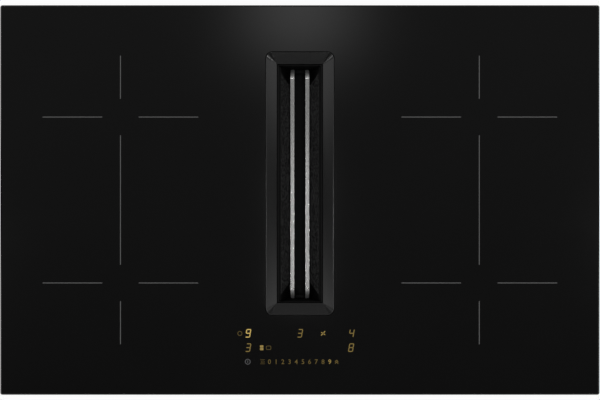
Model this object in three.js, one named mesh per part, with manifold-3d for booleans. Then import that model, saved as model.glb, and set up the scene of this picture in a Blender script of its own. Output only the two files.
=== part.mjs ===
// A downdraft induction cooktop, 800 mm wide, as an assembly of its separate pieces.
// Black glass carries four cooking zones. Air goes down between two steel bars in the
// middle, through a V-shaped grease filter, and out at the rear from a radial blower.
// Millimetres. X runs to the right, Y to the rear and Z up. The origin lies under the
// middle of the glass, level with the underside of the lower casing.

import * as THREE from "three";
import { mergeVertices } from "three/addons/utils/BufferGeometryUtils.js";
import Module from "manifold-3d";

const wasm = await Module();
wasm.setup();

// ---- Driving dimensions ----

const GAP = 0.3; // between pieces that touch

const GLASS_WIDTH = 800;
const GLASS_DEPTH = 520;
const GLASS_THICKNESS = 4;
const GLASS_CORNER = 3;
const GLASS_BEVEL = 1.2;

const SEAT_Z = 198; // the worktop's surface: the depth that hangs below it
const TAPE_THICKNESS = 2;
const TAPE_WIDTH = 7;
const TAPE_INSET = 1.5;
const GLASS_Z = SEAT_Z + TAPE_THICKNESS;
const GLASS_TOP = GLASS_Z + GLASS_THICKNESS;

const CASING_WIDTH = 772; // goes into a 780 x 500 worktop cut-out
const CASING_DEPTH = 492;
const CASING_FLOOR_Z = 142;
const CASING_SHEET = 1.5;

const ZONE_X = 239.2;
const ZONE_Y = 110.6;

const INTAKE_Y = 22;
const TRIM_WIDTH = 90;
const TRIM_LENGTH = 350;
const TRIM_CORNER = 8.5;
const MOUTH_WIDTH = 62;
const MOUTH_LENGTH = 320;
const MOUTH_DROP = 4.8; // the trim's inner edge lies this far under the glass's top
const TRIM_PROUD = 0.9;

const BAR_X = 10;
const BAR_WIDTH = 5;
const BAR_THICKNESS = 3;
const BAR_FLAT_LENGTH = 284.4;
const BAR_TOP = GLASS_TOP - 0.5;
const BAR_DROP = 39.5;

const SHAFT_WIDTH = 77;
const SHAFT_LENGTH = 337;
const SHAFT_WALL = 1.5;
const SHAFT_BOTTOM = 136;
const SHAFT_TOP = 197;

const LOWER_WIDTH = 370;
const LOWER_DEPTH = 402;
const LOWER_Y = 25;
const LOWER_WALL = 2.5;
const LOWER_TOP = CASING_FLOOR_Z - GAP;
const COVER_THICKNESS = 2.7;

const WHEEL_X = -45;
const WHEEL_Y = -30;
const WHEEL_RADIUS = 90;
const WHEEL_BOTTOM = 12;
const WHEEL_TOP = 90.5;
const BLADE_COUNT = 30;

const SCROLL_START = 97;
const SCROLL_END = 140;
const SCROLL_BOTTOM = 3.2;
const SCROLL_TOP = 98;
const SCROLL_WALL = 2.5;
const SCROLL_INLET = 66;

const DUCT_WIDTH = 222; // the flat duct that the outlet feeds
const DUCT_HEIGHT = 89;
const DUCT_Z = 50.5;
const DUCT_WALL = 2;
const DUCT_START = 166;
const DUCT_END = 246;

const FAN_X = 250;
const FAN_Y = 95;
const BOARD_X = 250;
const BOARD_Y = -70;
const CLAMP_X = 372;
const CLAMP_Y = 205;

// ---- Materials ----

function material(color, roughness, metalness = 0) {
  return new THREE.MeshStandardMaterial({ color, roughness, metalness });
}

const blackGlass = material(0x141414, 0.08);
const blackTrim = material(0x2b2b2b, 0.55, 0.2);
const brushedSteel = material(0xb4b4b2, 0.32, 1);
const blackMesh = material(0x1c1c1c, 0.6, 0.5);
const blackPlastic = material(0x202020, 0.6);
const greyPlastic = material(0x5a5d60, 0.6);
const whitePlastic = material(0xd8d6d0, 0.5);
const zincSheet = material(0x9ea3a6, 0.45, 0.9);
const aluminium = material(0xc0c4c8, 0.4, 1);
const copperLitz = material(0xb06a3c, 0.5, 0.7);
const mica = material(0xb9ab8c, 0.7);
const boardGreen = material(0x1f5a38, 0.5);
const rubber = material(0x171717, 0.85);
const boltSteel = material(0x8c8f92, 0.4, 0.9);

// ---- Solids ----

// A closed three.js geometry as a solid that can be cut and joined.
function solidOf(geometry) {
  const bare = geometry.clone();
  bare.deleteAttribute("normal");
  bare.deleteAttribute("uv");
  const merged = mergeVertices(bare, 1e-4);
  const corners = merged.index.array;
  const triangles = [];
  for (let i = 0; i < corners.length; i += 3) {
    const [a, b, c] = [corners[i], corners[i + 1], corners[i + 2]];
    if (a !== b && b !== c && c !== a) triangles.push(a, b, c);
  }
  return new wasm.Manifold(
    new wasm.Mesh({
      numProp: 3,
      vertProperties: new Float32Array(merged.attributes.position.array),
      triVerts: new Uint32Array(triangles),
    }),
  );
}

function geometryOf(solid) {
  const mesh = solid.getMesh();
  const geometry = new THREE.BufferGeometry();
  geometry.setAttribute("position", new THREE.BufferAttribute(mesh.vertProperties, 3));
  geometry.setIndex(new THREE.BufferAttribute(mesh.triVerts, 1));
  const flat = geometry.toNonIndexed();
  flat.computeVertexNormals();
  return flat;
}

// A flat plate of an outline between two heights, with any holes.
function slab(outline, low, high, holes = []) {
  const shape = new THREE.Shape(outline);
  shape.holes = holes.map((hole) => new THREE.Path(hole));
  const settings = { depth: high - low, bevelEnabled: false };
  return solidOf(new THREE.ExtrudeGeometry(shape, settings).translate(0, 0, low));
}

function block(left, right, front, rear, low, high) {
  const geometry = new THREE.BoxGeometry(right - left, rear - front, high - low);
  geometry.translate((left + right) / 2, (front + rear) / 2, (low + high) / 2);
  return solidOf(geometry);
}

// An upright round bar.
function post(x, y, radius, low, high, sides = 24) {
  const geometry = new THREE.CylinderGeometry(radius, radius, high - low, sides);
  geometry.rotateX(Math.PI / 2).translate(x, y, (low + high) / 2);
  return solidOf(geometry);
}

// A round bar that lies along X.
function crossRod(halfLength, y, z, radius, sides = 16) {
  const geometry = new THREE.CylinderGeometry(radius, radius, 2 * halfLength, sides);
  geometry.rotateZ(Math.PI / 2).translate(0, y, z);
  return solidOf(geometry);
}

// A turned piece about an upright axis: the profile's points are radius and height.
function turned(profile, sides) {
  const points = profile.map(([radius, height]) => new THREE.Vector2(radius, height));
  return solidOf(new THREE.LatheGeometry(points, sides).rotateX(Math.PI / 2));
}

// A side profile in Y and Z, as wide as stated and centred on one X.
function sideProfile(profile, x, width) {
  const points = profile.map(([y, z]) => new THREE.Vector2(y, z));
  const settings = { depth: width, bevelEnabled: false };
  const geometry = new THREE.ExtrudeGeometry(new THREE.Shape(points), settings);
  const axes = new THREE.Matrix4().makeBasis(
    new THREE.Vector3(0, 1, 0),
    new THREE.Vector3(0, 0, 1),
    new THREE.Vector3(1, 0, 0),
  );
  return solidOf(geometry.applyMatrix4(axes).translate(x - width / 2, 0, 0));
}

// A front profile in X and Z, run along Y between two places.
function frontProfile(profile, front, rear) {
  const points = profile.map(([x, z]) => new THREE.Vector2(x, z));
  const settings = { depth: rear - front, bevelEnabled: false };
  const geometry = new THREE.ExtrudeGeometry(new THREE.Shape(points), settings);
  return solidOf(geometry.rotateX(Math.PI / 2).translate(0, rear, 0));
}

function roundedOutline(width, depth, radius, y = 0, steps = 4) {
  const points = [];
  const corners = [
    [1, 1],
    [-1, 1],
    [-1, -1],
    [1, -1],
  ];
  corners.forEach(([sideX, sideY], quarter) => {
    for (let i = 0; i <= steps; i++) {
      const angle = ((quarter + i / steps) * Math.PI) / 2;
      const x = sideX * (width / 2 - radius) + radius * Math.cos(angle);
      points.push(
        new THREE.Vector2(x, y + sideY * (depth / 2 - radius) + radius * Math.sin(angle)),
      );
    }
  });
  return points;
}

function roundedSlab(width, depth, radius, low, high, y = 0, steps = 4) {
  return slab(roundedOutline(width, depth, radius, y, steps), low, high);
}

// Walls between stacked outlines of one point count. Each level is an outline and a height.
function wallsBetween(levels, positions) {
  const count = levels[0][0].length;
  const put = ([outline, z], i) => positions.push(outline[i % count].x, outline[i % count].y, z);
  for (let n = 0; n + 1 < levels.length; n++)
    for (let i = 0; i < count; i++) {
      put(levels[n], i);
      put(levels[n], i + 1);
      put(levels[n + 1], i + 1);
      put(levels[n], i);
      put(levels[n + 1], i + 1);
      put(levels[n + 1], i);
    }
}

function solidFromPositions(positions) {
  const geometry = new THREE.BufferGeometry();
  geometry.setAttribute("position", new THREE.Float32BufferAttribute(positions, 3));
  return solidOf(geometry);
}

// A solid block whose outline changes with height.
function lofted(levels) {
  const positions = [];
  wallsBetween(levels, positions);
  const [bottom, bottomZ] = levels[0];
  const [top, topZ] = levels[levels.length - 1];
  for (const [a, b, c] of THREE.ShapeUtils.triangulateShape(bottom, []))
    for (const i of [a, c, b]) positions.push(bottom[i].x, bottom[i].y, bottomZ);
  for (const [a, b, c] of THREE.ShapeUtils.triangulateShape(top, []))
    for (const i of [a, b, c]) positions.push(top[i].x, top[i].y, topZ);
  return solidFromPositions(positions);
}

// A frame whose section runs up its outside and down its inside.
function framed(levels) {
  const positions = [];
  wallsBetween([...levels, levels[0]], positions);
  return solidFromPositions(positions);
}

// An outline moved inwards by a wall's thickness. It runs anticlockwise.
function inset(outline, distance) {
  return outline.map((point, i) => {
    const before = outline[(i + outline.length - 1) % outline.length];
    const after = outline[(i + 1) % outline.length];
    const into = new THREE.Vector2().subVectors(point, before).normalize();
    const out = new THREE.Vector2().subVectors(after, point).normalize();
    const mitre = new THREE.Vector2(-into.y - out.y, into.x + out.x).normalize();
    const reach = distance / (mitre.x * -into.y + mitre.y * into.x);
    return point.clone().addScaledVector(mitre, reach);
  });
}

function join(solids) {
  return solids.reduce((whole, next) => whole.add(next));
}

function cut(solid, tools) {
  return tools.reduce((rest, tool) => rest.subtract(tool), solid);
}

// ---- The assembly ----

const cooktop = new THREE.Group();

function place(parent, name, solid, finish, x = 0, y = 0) {
  const mesh = new THREE.Mesh(geometryOf(solid), finish);
  mesh.name = name;
  mesh.position.set(x, y, 0);
  parent.add(mesh);
}

const SIDES = [
  ["left", -1],
  ["right", 1],
];
const STATIONS = [
  ["front_left", -1, -1],
  ["rear_left", -1, 1],
  ["front_right", 1, -1],
  ["rear_right", 1, 1],
];

// ---- Glass top, its sealing tape and the intake's trim frame ----

const MOUTH_GAP = 1; // the dark line between the trim frame and the glass

function glassTop() {
  const full = roundedOutline(GLASS_WIDTH, GLASS_DEPTH, GLASS_CORNER);
  const upper = inset(full, GLASS_BEVEL);
  const sheet = lofted([
    [full, GLASS_Z],
    [full, GLASS_TOP - GLASS_BEVEL],
    [upper, GLASS_TOP],
  ]);
  const mouth = roundedSlab(
    TRIM_WIDTH + 2 * MOUTH_GAP,
    TRIM_LENGTH + 2 * MOUTH_GAP,
    TRIM_CORNER + MOUTH_GAP,
    GLASS_Z - 1,
    GLASS_TOP + 1,
    INTAKE_Y,
  );
  return sheet.subtract(mouth);
}

function sealingTape() {
  const width = GLASS_WIDTH - 2 * TAPE_INSET;
  const depth = GLASS_DEPTH - 2 * TAPE_INSET;
  const hole = roundedOutline(width - 2 * TAPE_WIDTH, depth - 2 * TAPE_WIDTH, 2);
  return slab(roundedOutline(width, depth, 3), SEAT_Z, GLASS_Z - GAP / 2, [hole]);
}

function trimFrame() {
  const base = SHAFT_TOP + GAP;
  const level = (width, length, radius, z) => [
    roundedOutline(width, length, radius, INTAKE_Y, 5),
    z,
  ];
  const lip = 0.7;
  const innerZ = GLASS_TOP - MOUTH_DROP;
  const skirtBottom = 188;
  const skirtWall = 1.6;
  const skirtWidth = MOUTH_WIDTH + 2 * skirtWall;
  const skirtLength = MOUTH_LENGTH + 2 * skirtWall;
  return framed([
    level(TRIM_WIDTH, TRIM_LENGTH, TRIM_CORNER, base),
    level(TRIM_WIDTH, TRIM_LENGTH, TRIM_CORNER, GLASS_TOP + TRIM_PROUD - lip),
    level(TRIM_WIDTH - 2 * lip, TRIM_LENGTH - 2 * lip, TRIM_CORNER - lip, GLASS_TOP + TRIM_PROUD),
    level(MOUTH_WIDTH, MOUTH_LENGTH, 0, innerZ),
    level(MOUTH_WIDTH, MOUTH_LENGTH, 0, skirtBottom),
    level(skirtWidth, skirtLength, 1.5, skirtBottom),
    level(skirtWidth, skirtLength, 1.5, innerZ - 3.7),
    level(skirtWidth + 5, skirtLength + 5, 3, base),
  ]);
}

place(cooktop, "glass_top", glassTop(), blackGlass);
place(cooktop, "worktop_sealing_tape", sealingTape(), rubber);
place(cooktop, "intake_trim_frame", trimFrame(), blackTrim);

// ---- Grille: two bent steel bars on two cross bridges ----

const halfFlat = BAR_FLAT_LENGTH / 2;
const barEnd = 157.8;
const barFoot = BAR_TOP - BAR_DROP;

function grilleBar(x) {
  const slope = (barEnd - halfFlat) / BAR_DROP;
  const legThickness = BAR_THICKNESS * Math.hypot(1, slope);
  const innerEnd = barEnd - legThickness;
  const innerTop = innerEnd - slope * (BAR_DROP - BAR_THICKNESS);
  const half = [
    [barEnd, barFoot],
    [halfFlat, BAR_TOP],
    [-halfFlat, BAR_TOP],
    [-barEnd, barFoot],
    [-innerEnd, barFoot],
    [-innerTop, BAR_TOP - BAR_THICKNESS],
    [innerTop, BAR_TOP - BAR_THICKNESS],
    [innerEnd, barFoot],
  ];
  const profile = half.map(([y, z]) => [y + INTAKE_Y, z]);
  return sideProfile(profile, x, BAR_WIDTH);
}

const bridgeHeight = 3.7;
const bridgeDepth = 4.8;
const bridgeTop = barFoot - GAP;

function grilleBridge(end) {
  const outer = INTAKE_Y + end * barEnd;
  const inner = outer - end * bridgeDepth;
  const reach = BAR_X + BAR_WIDTH / 2;
  const front = Math.min(outer, inner);
  return block(-reach, reach, front, front + bridgeDepth, bridgeTop - bridgeHeight, bridgeTop);
}

place(cooktop, "grille_left_bar", grilleBar(-BAR_X), brushedSteel);
place(cooktop, "grille_right_bar", grilleBar(BAR_X), brushedSteel);
place(cooktop, "grille_front_bridge", grilleBridge(-1), blackTrim);
place(cooktop, "grille_rear_bridge", grilleBridge(1), blackTrim);

// ---- Grease filter: a rim, a frame, two sloping mesh packs and a drip trough ----

const FILTER_WIDTH = MOUTH_WIDTH - 1.2;
const FILTER_LENGTH = MOUTH_LENGTH - 1.2;
const FILTER_TOP = 197.5;
const RIM_BOTTOM = 192;
const RAIL_TOP = 156;
const RAIL_BOTTOM = 150;
const RAIL_X = 16.1;
const RAIL_WIDTH = 1.9;
const END_WALL = 1.2;
const PACK_TOP_X = 26;
const PACK_FOOT_X = 13.2;
const PACK_THICKNESS = 4.2;
const TROUGH_BOTTOM = 146.3;

function filterRim() {
  const rimWall = 2;
  const rim = roundedSlab(FILTER_WIDTH, FILTER_LENGTH, 0.6, RIM_BOTTOM, FILTER_TOP, INTAKE_Y, 1);
  const hole = roundedSlab(
    FILTER_WIDTH - 2 * rimWall,
    FILTER_LENGTH - 2 * END_WALL,
    0.5,
    RIM_BOTTOM - 1,
    FILTER_TOP + 1,
    INTAKE_Y,
    1,
  );
  return rim.subtract(hole);
}

function filterFrame() {
  const half = FILTER_LENGTH / 2;
  const railOuter = RAIL_X + RAIL_WIDTH;
  const endTop = RIM_BOTTOM - GAP;
  const endOutline = [
    [-FILTER_WIDTH / 2, endTop],
    [-railOuter, RAIL_BOTTOM],
    [railOuter, RAIL_BOTTOM],
    [FILTER_WIDTH / 2, endTop],
  ];
  const pieces = [];
  for (const end of [-1, 1]) {
    const outer = INTAKE_Y + end * half;
    const front = Math.min(outer, outer - end * END_WALL);
    pieces.push(frontProfile(endOutline, front, front + END_WALL));
    const seatDepth = 4;
    const seatFront = Math.min(outer, outer - end * seatDepth);
    const seatTop = bridgeTop - bridgeHeight - GAP;
    pieces.push(block(-12, 12, seatFront, seatFront + seatDepth, seatTop - 2.5, seatTop));
  }
  for (const [, side] of SIDES) {
    const inner = side * RAIL_X;
    const left = Math.min(inner, inner + side * RAIL_WIDTH);
    pieces.push(
      block(
        left,
        left + RAIL_WIDTH,
        INTAKE_Y - half + 0.5,
        INTAKE_Y + half - 0.5,
        RAIL_BOTTOM,
        RAIL_TOP,
      ),
    );
  }
  return join(pieces);
}

function filterPack(side) {
  const top = RIM_BOTTOM - GAP;
  const foot = RAIL_TOP + GAP;
  const section = [
    [side * PACK_TOP_X, top],
    [side * PACK_FOOT_X, foot],
    [side * (PACK_FOOT_X + PACK_THICKNESS), foot],
    [side * (PACK_TOP_X + PACK_THICKNESS), top],
  ];
  if (side < 0) section.reverse();
  const half = FILTER_LENGTH / 2 - END_WALL - GAP;
  return frontProfile(section, INTAKE_Y - half, INTAKE_Y + half);
}

function dripTrough() {
  const wall = 1.2;
  const reach = RAIL_X - GAP;
  const half = FILTER_LENGTH / 2 - END_WALL - GAP;
  const front = INTAKE_Y - half;
  const rear = INTAKE_Y + half;
  const outer = block(-reach, reach, front, rear, TROUGH_BOTTOM, RAIL_TOP - 0.1);
  const inside = block(
    -reach + wall,
    reach - wall,
    front + wall,
    rear - wall,
    TROUGH_BOTTOM + wall,
    RAIL_TOP + 1,
  );
  return outer.subtract(inside);
}

place(cooktop, "filter_rim", filterRim(), blackTrim);
place(cooktop, "filter_frame", filterFrame(), blackTrim);
place(cooktop, "left_filter_pack", filterPack(-1), blackMesh);
place(cooktop, "right_filter_pack", filterPack(1), blackMesh);
place(cooktop, "drip_trough", dripTrough(), blackTrim);

// ---- Intake shaft under the glass, its seal and the overflow tray ----

function intakeShaft() {
  const flangeThickness = 2.5;
  const innerWidth = SHAFT_WIDTH - 2 * SHAFT_WALL;
  const innerLength = SHAFT_LENGTH - 2 * SHAFT_WALL;
  const walls = roundedSlab(SHAFT_WIDTH, SHAFT_LENGTH, 3, SHAFT_BOTTOM, SHAFT_TOP, INTAKE_Y, 2);
  const flange = roundedSlab(112, 372, 10, SHAFT_TOP - flangeThickness, SHAFT_TOP, INTAKE_Y);
  const bore = roundedSlab(
    innerWidth,
    innerLength,
    2,
    SHAFT_BOTTOM - 1,
    SHAFT_TOP + 1,
    INTAKE_Y,
    2,
  );
  const ribTop = TROUGH_BOTTOM - GAP;
  const ribs = [-80, 124].map((y) =>
    block(-SHAFT_WIDTH / 2 + 0.5, SHAFT_WIDTH / 2 - 0.5, y - 1.5, y + 1.5, ribTop - 6, ribTop),
  );
  return join([walls.add(flange).subtract(bore), ...ribs]);
}

function shaftSeal() {
  const hole = roundedOutline(96, 356, 10, INTAKE_Y);
  const outline = roundedOutline(108, 368, 12, INTAKE_Y);
  return slab(outline, SHAFT_TOP + GAP, GLASS_Z - GAP, [hole]);
}

function overflowTray() {
  const wall = 1.6;
  const bottom = 104;
  const top = 122;
  const width = 92;
  const length = 344;
  const tub = cut(roundedSlab(width, length, 8, bottom, top, INTAKE_Y), [
    roundedSlab(width - 2 * wall, length - 2 * wall, 6.4, bottom + wall, top + 1, INTAKE_Y),
  ]);
  const legs = [];
  for (const x of [-36, 36])
    for (const y of [-118, 140])
      legs.push(block(x - 4, x + 4, y - 4, y + 4, SCROLL_TOP + GAP, bottom + 0.5));
  return join([tub, ...legs]);
}

place(cooktop, "intake_shaft", intakeShaft(), blackPlastic);
place(cooktop, "shaft_seal", shaftSeal(), rubber);
place(cooktop, "overflow_tray", overflowTray(), greyPlastic);

// ---- Upper casing with a coil deck on each side ----

const FLOOR_TOP = CASING_FLOOR_Z + CASING_SHEET;
const STAND_Z = FLOOR_TOP + GAP;
const FAN_BORE = 38;
const DECK_Z = 184;

function shaftPassage(low, high) {
  return roundedSlab(SHAFT_WIDTH + 1.2, SHAFT_LENGTH + 1.2, 3.6, low, high, INTAKE_Y, 2);
}

function upperCasing() {
  const tools = [
    roundedSlab(
      CASING_WIDTH - 2 * CASING_SHEET,
      CASING_DEPTH - 2 * CASING_SHEET,
      5,
      FLOOR_TOP,
      GLASS_Z + 1,
    ),
    shaftPassage(CASING_FLOOR_Z - 1, FLOOR_TOP + 1),
  ];
  const slotWidth = 3.6;
  const slotPitch = 12;
  for (const [, side] of SIDES) {
    tools.push(post(side * FAN_X, FAN_Y, FAN_BORE - 2, CASING_FLOOR_Z - 1, FLOOR_TOP + 1));
    for (let i = -3; i <= 3; i++) {
      const x = side * BOARD_X + i * slotPitch;
      tools.push(
        block(
          x - slotWidth / 2,
          x + slotWidth / 2,
          -232,
          -182,
          CASING_FLOOR_Z - 1,
          FLOOR_TOP + 1,
        ),
      );
    }
  }
  const shell = roundedSlab(CASING_WIDTH, CASING_DEPTH, 6, CASING_FLOOR_Z, GLASS_Z - GAP);
  return cut(shell, tools);
}

// Mirrored by its side: the deck runs from beside the shaft to the casing's wall.
function coilDeck(side) {
  const inner = side * 112;
  const outer = side * 376;
  const [left, right] = [Math.min(inner, outer), Math.max(inner, outer)];
  const plate = block(left, right, -226, 226, DECK_Z, DECK_Z + 1.5);
  const legs = [];
  for (const x of [side * 118, side * 370])
    for (const y of [-218, 218])
      legs.push(block(x - 5, x + 5, y - 5, y + 5, STAND_Z, DECK_Z + 0.5));
  return join([plate, ...legs]);
}

place(cooktop, "upper_casing", upperCasing(), zincSheet);
for (const [name, side] of SIDES) place(cooktop, name + "_coil_deck", coilDeck(side), aluminium);

// ---- Induction coils: a carrier and a winding at each zone, a mica sheet on each side ----

const CARRIER_Z = DECK_Z + 1.5 + GAP;
const CARRIER_THICKNESS = 4.5;
const WINDING_Z = CARRIER_Z + CARRIER_THICKNESS + GAP;
const WINDING_THICKNESS = 6;
const MICA_Z = WINDING_Z + WINDING_THICKNESS + GAP;
const SENSOR_RADIUS = 12;

function coilCarrier() {
  const top = CARRIER_Z + CARRIER_THICKNESS;
  const tools = [post(0, 0, SENSOR_RADIUS, CARRIER_Z - 1, top + 1, 16)];
  const spokeCount = 8;
  for (let i = 0; i < spokeCount; i++) {
    const window = new THREE.BoxGeometry(48, 12, 10).translate(58, 0, CARRIER_Z + 2);
    window.rotateZ(((i + 0.5) / spokeCount) * 2 * Math.PI);
    tools.push(solidOf(window));
  }
  return cut(roundedSlab(204, 204, 44, CARRIER_Z, top), tools);
}

function coilWinding() {
  const outline = roundedOutline(194, 194, 62, 0, 6);
  const hole = roundedOutline(62, 62, 24, 0, 6);
  return slab(outline, WINDING_Z, WINDING_Z + WINDING_THICKNESS, [hole]);
}

function micaSheet() {
  const holes = [-ZONE_Y, ZONE_Y].map((y) => roundedOutline(24, 24, SENSOR_RADIUS, y, 3));
  return slab(roundedOutline(212, 436, 12), MICA_Z, MICA_Z + 1, holes);
}

for (const [name, sideX, sideY] of STATIONS) {
  const station = new THREE.Group();
  station.position.set(sideX * ZONE_X, sideY * ZONE_Y, 0);
  cooktop.add(station);
  place(station, name + "_coil_carrier", coilCarrier(), whitePlastic);
  place(station, name + "_coil_winding", coilWinding(), copperLitz);
}
for (const [name, side] of SIDES)
  place(cooktop, name + "_mica_sheet", micaSheet(), mica, side * ZONE_X);

// ---- Power electronics: an inverter board, a heat sink and a cooling fan on each side ----

function inverterBoard() {
  const low = 150;
  const top = low + 1.6;
  const pieces = [block(-90, 90, -100, 100, low, top)];
  for (const x of [-84, 84])
    for (const y of [-94, 94]) pieces.push(post(x, y, 3.5, STAND_Z, top, 8));
  for (const y of [66, 42]) pieces.push(post(62, y, 9, top - 0.2, top + 22, 12));
  for (const y of [14, -8]) pieces.push(block(50, 74, y - 8, y + 8, top - 0.2, top + 15));
  pieces.push(post(58, -48, 15, top - 0.2, top + 13, 14));
  pieces.push(block(20, 80, -94, -78, top - 0.2, top + 12));
  pieces.push(block(14, 34, 10, 30, top - 0.2, top + 3));
  return join(pieces);
}

function heatSink() {
  const finCount = 9;
  const finPitch = 8;
  const finWidth = 1.8;
  const low = 152.2;
  const baseTop = low + 5;
  const finTop = 180;
  const left = -78;
  const outline = [
    [left, low],
    [left + (finCount - 1) * finPitch + finWidth, low],
  ];
  for (let i = finCount - 1; i >= 0; i--) {
    const x = left + i * finPitch;
    outline.push([x + finWidth, finTop], [x, finTop]);
    if (i > 0) outline.push([x, baseTop], [x - finPitch + finWidth, baseTop]);
  }
  return frontProfile(outline, -72, 72);
}

function fanHousing() {
  const height = 22;
  const frame = roundedSlab(84, 84, 5, STAND_Z, STAND_Z + height, 0, 2);
  const pieces = [frame.subtract(post(0, 0, FAN_BORE, STAND_Z - 1, STAND_Z + height + 1, 32))];
  for (let i = 0; i < 3; i++) {
    const strut = new THREE.BoxGeometry(30, 4, 2.2).translate(25, 0, STAND_Z + 1.1);
    strut.rotateZ((i / 3) * 2 * Math.PI);
    pieces.push(solidOf(strut));
  }
  pieces.push(post(0, 0, 14, STAND_Z, STAND_Z + 2.2, 16));
  pieces.push(post(0, 0, 2.4, STAND_Z, STAND_Z + 10, 10));
  return join(pieces);
}

function fanRotor() {
  const hubLow = STAND_Z + 2.7;
  const hubHigh = STAND_Z + 19;
  const hub = post(0, 0, 15, hubLow, hubHigh, 20);
  const pieces = [hub];
  const bladeCount = 7;
  for (let i = 0; i < bladeCount; i++) {
    const blade = new THREE.BoxGeometry(23, 1.5, 17).rotateX(-0.75);
    blade.translate(24.5, 0, (hubLow + hubHigh) / 2).rotateZ((i / bladeCount) * 2 * Math.PI);
    pieces.push(solidOf(blade));
  }
  return join(pieces).subtract(post(0, 0, 2.8, hubLow - 1, STAND_Z + 11, 10));
}

for (const [name, side] of SIDES) {
  const boardX = side * BOARD_X;
  place(cooktop, name + "_inverter_board", inverterBoard(), boardGreen, boardX, BOARD_Y);
  place(cooktop, name + "_heat_sink", heatSink(), aluminium, boardX, BOARD_Y);
  place(cooktop, name + "_fan_housing", fanHousing(), blackPlastic, side * FAN_X, FAN_Y);
  place(cooktop, name + "_fan_rotor", fanRotor(), greyPlastic, side * FAN_X, FAN_Y);
}

// ---- Touch board and the light guide under the display ----

const DISPLAY_Y = -202;

function touchBoard() {
  const low = 190.5;
  const high = 192.1;
  const pieces = [block(-98, 98, DISPLAY_Y - 31, DISPLAY_Y + 31, low, high)];
  for (const x of [-92, 92])
    for (const y of [-25, 25])
      pieces.push(post(x, DISPLAY_Y + y, 3.5, STAND_Z, low + 0.5, 8));
  pieces.push(block(-20, -6, DISPLAY_Y - 7, DISPLAY_Y + 7, low - 2, low + 0.2));
  pieces.push(block(40, 70, DISPLAY_Y - 22, DISPLAY_Y - 14, low - 8, low + 0.2));
  return join(pieces);
}

function lightGuide() {
  const low = 192.4;
  const high = GLASS_Z - 0.6;
  const windows = [
    [-85, -76, -186, -170.5],
    [-75, -62, -186, -171],
    [-7, 8, -186, -171],
    [24, 38, -186, -171],
    [62, 76, -186, -171],
    [-75, -62, -205, -189],
    [-56, -36, -205, -189],
    [61, 76, -205, -189],
    [-75, -64, -222, -210],
    [-56, 54, -222, -210],
  ];
  const tools = windows.map(([left, right, front, rear]) =>
    block(left, right, front, rear, low - 1, high + 1),
  );
  return cut(block(-95, 95, DISPLAY_Y - 28, DISPLAY_Y + 34, low, high), tools);
}

place(cooktop, "touch_board", touchBoard(), boardGreen);
place(cooktop, "display_light_guide", lightGuide(), whitePlastic);

// ---- Mains terminal box under the rear left of the casing, with its cable gland ----

const BOX_LEFT = -330;
const BOX_RIGHT = -215;
const BOX_FRONT = 150;
const BOX_REAR = 232;
const BOX_BOTTOM = 108;
const BOX_WALL = 2.5;
const GLAND_X = -272;
const GLAND_Z = 124;
const GLAND_NECK = 8;

function terminalBox() {
  const shell = block(BOX_LEFT, BOX_RIGHT, BOX_FRONT, BOX_REAR, BOX_BOTTOM, LOWER_TOP);
  const inside = block(
    BOX_LEFT + BOX_WALL,
    BOX_RIGHT - BOX_WALL,
    BOX_FRONT + BOX_WALL,
    BOX_REAR - BOX_WALL,
    BOX_BOTTOM - 1,
    LOWER_TOP - BOX_WALL,
  );
  const hole = new THREE.CylinderGeometry(GLAND_NECK + 0.4, GLAND_NECK + 0.4, 10, 20);
  return cut(shell, [inside, solidOf(hole.translate(GLAND_X, BOX_REAR, GLAND_Z))]);
}

function terminalBoxLid() {
  const top = BOX_BOTTOM - GAP;
  const rim = BOX_WALL + GAP;
  return join([
    block(BOX_LEFT, BOX_RIGHT, BOX_FRONT, BOX_REAR, top - 2.3, top),
    block(
      BOX_LEFT + rim,
      BOX_RIGHT - rim,
      BOX_FRONT + rim,
      BOX_REAR - rim,
      top - 1,
      top + 2,
    ),
  ]);
}

function terminalBlock() {
  const top = LOWER_TOP - BOX_WALL - GAP;
  const left = -302;
  const pitch = 12;
  const body = block(left, left + 5 * pitch, 164, 194, top - 15, top);
  const tools = [];
  for (let i = 0; i < 5; i++)
    tools.push(post(left + (i + 0.5) * pitch, 172, 3, top - 16, top - 9, 8));
  return cut(body, tools);
}

function cableGland() {
  const profile = [
    [5, 222],
    [11, 222],
    [11, 228.8],
    [GLAND_NECK, 228.8],
    [GLAND_NECK, BOX_REAR + GAP],
    [10.5, BOX_REAR + GAP],
    [10.5, 242],
    [7.5, 247],
    [5, 247],
    [5, 222],
  ];
  const points = profile.map(([radius, y]) => new THREE.Vector2(radius, y));
  const body = solidOf(new THREE.LatheGeometry(points, 20));
  const hexagon = solidOf(new THREE.CylinderGeometry(12.5, 12.5, 5, 6).translate(0, 234.8, 0));
  const bore = solidOf(new THREE.CylinderGeometry(6, 6, 40, 20).translate(0, 235, 0));
  return body.add(hexagon.subtract(bore));
}

place(cooktop, "terminal_box", terminalBox(), blackPlastic);
place(cooktop, "terminal_box_lid", terminalBoxLid(), blackPlastic);
place(cooktop, "terminal_block", terminalBlock(), whitePlastic);
{
  const gland = new THREE.Mesh(geometryOf(cableGland()), blackPlastic);
  gland.name = "cable_gland";
  gland.position.set(GLAND_X, 0, GLAND_Z);
  cooktop.add(gland);
}

// ---- Lower casing and its cover ----

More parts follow.
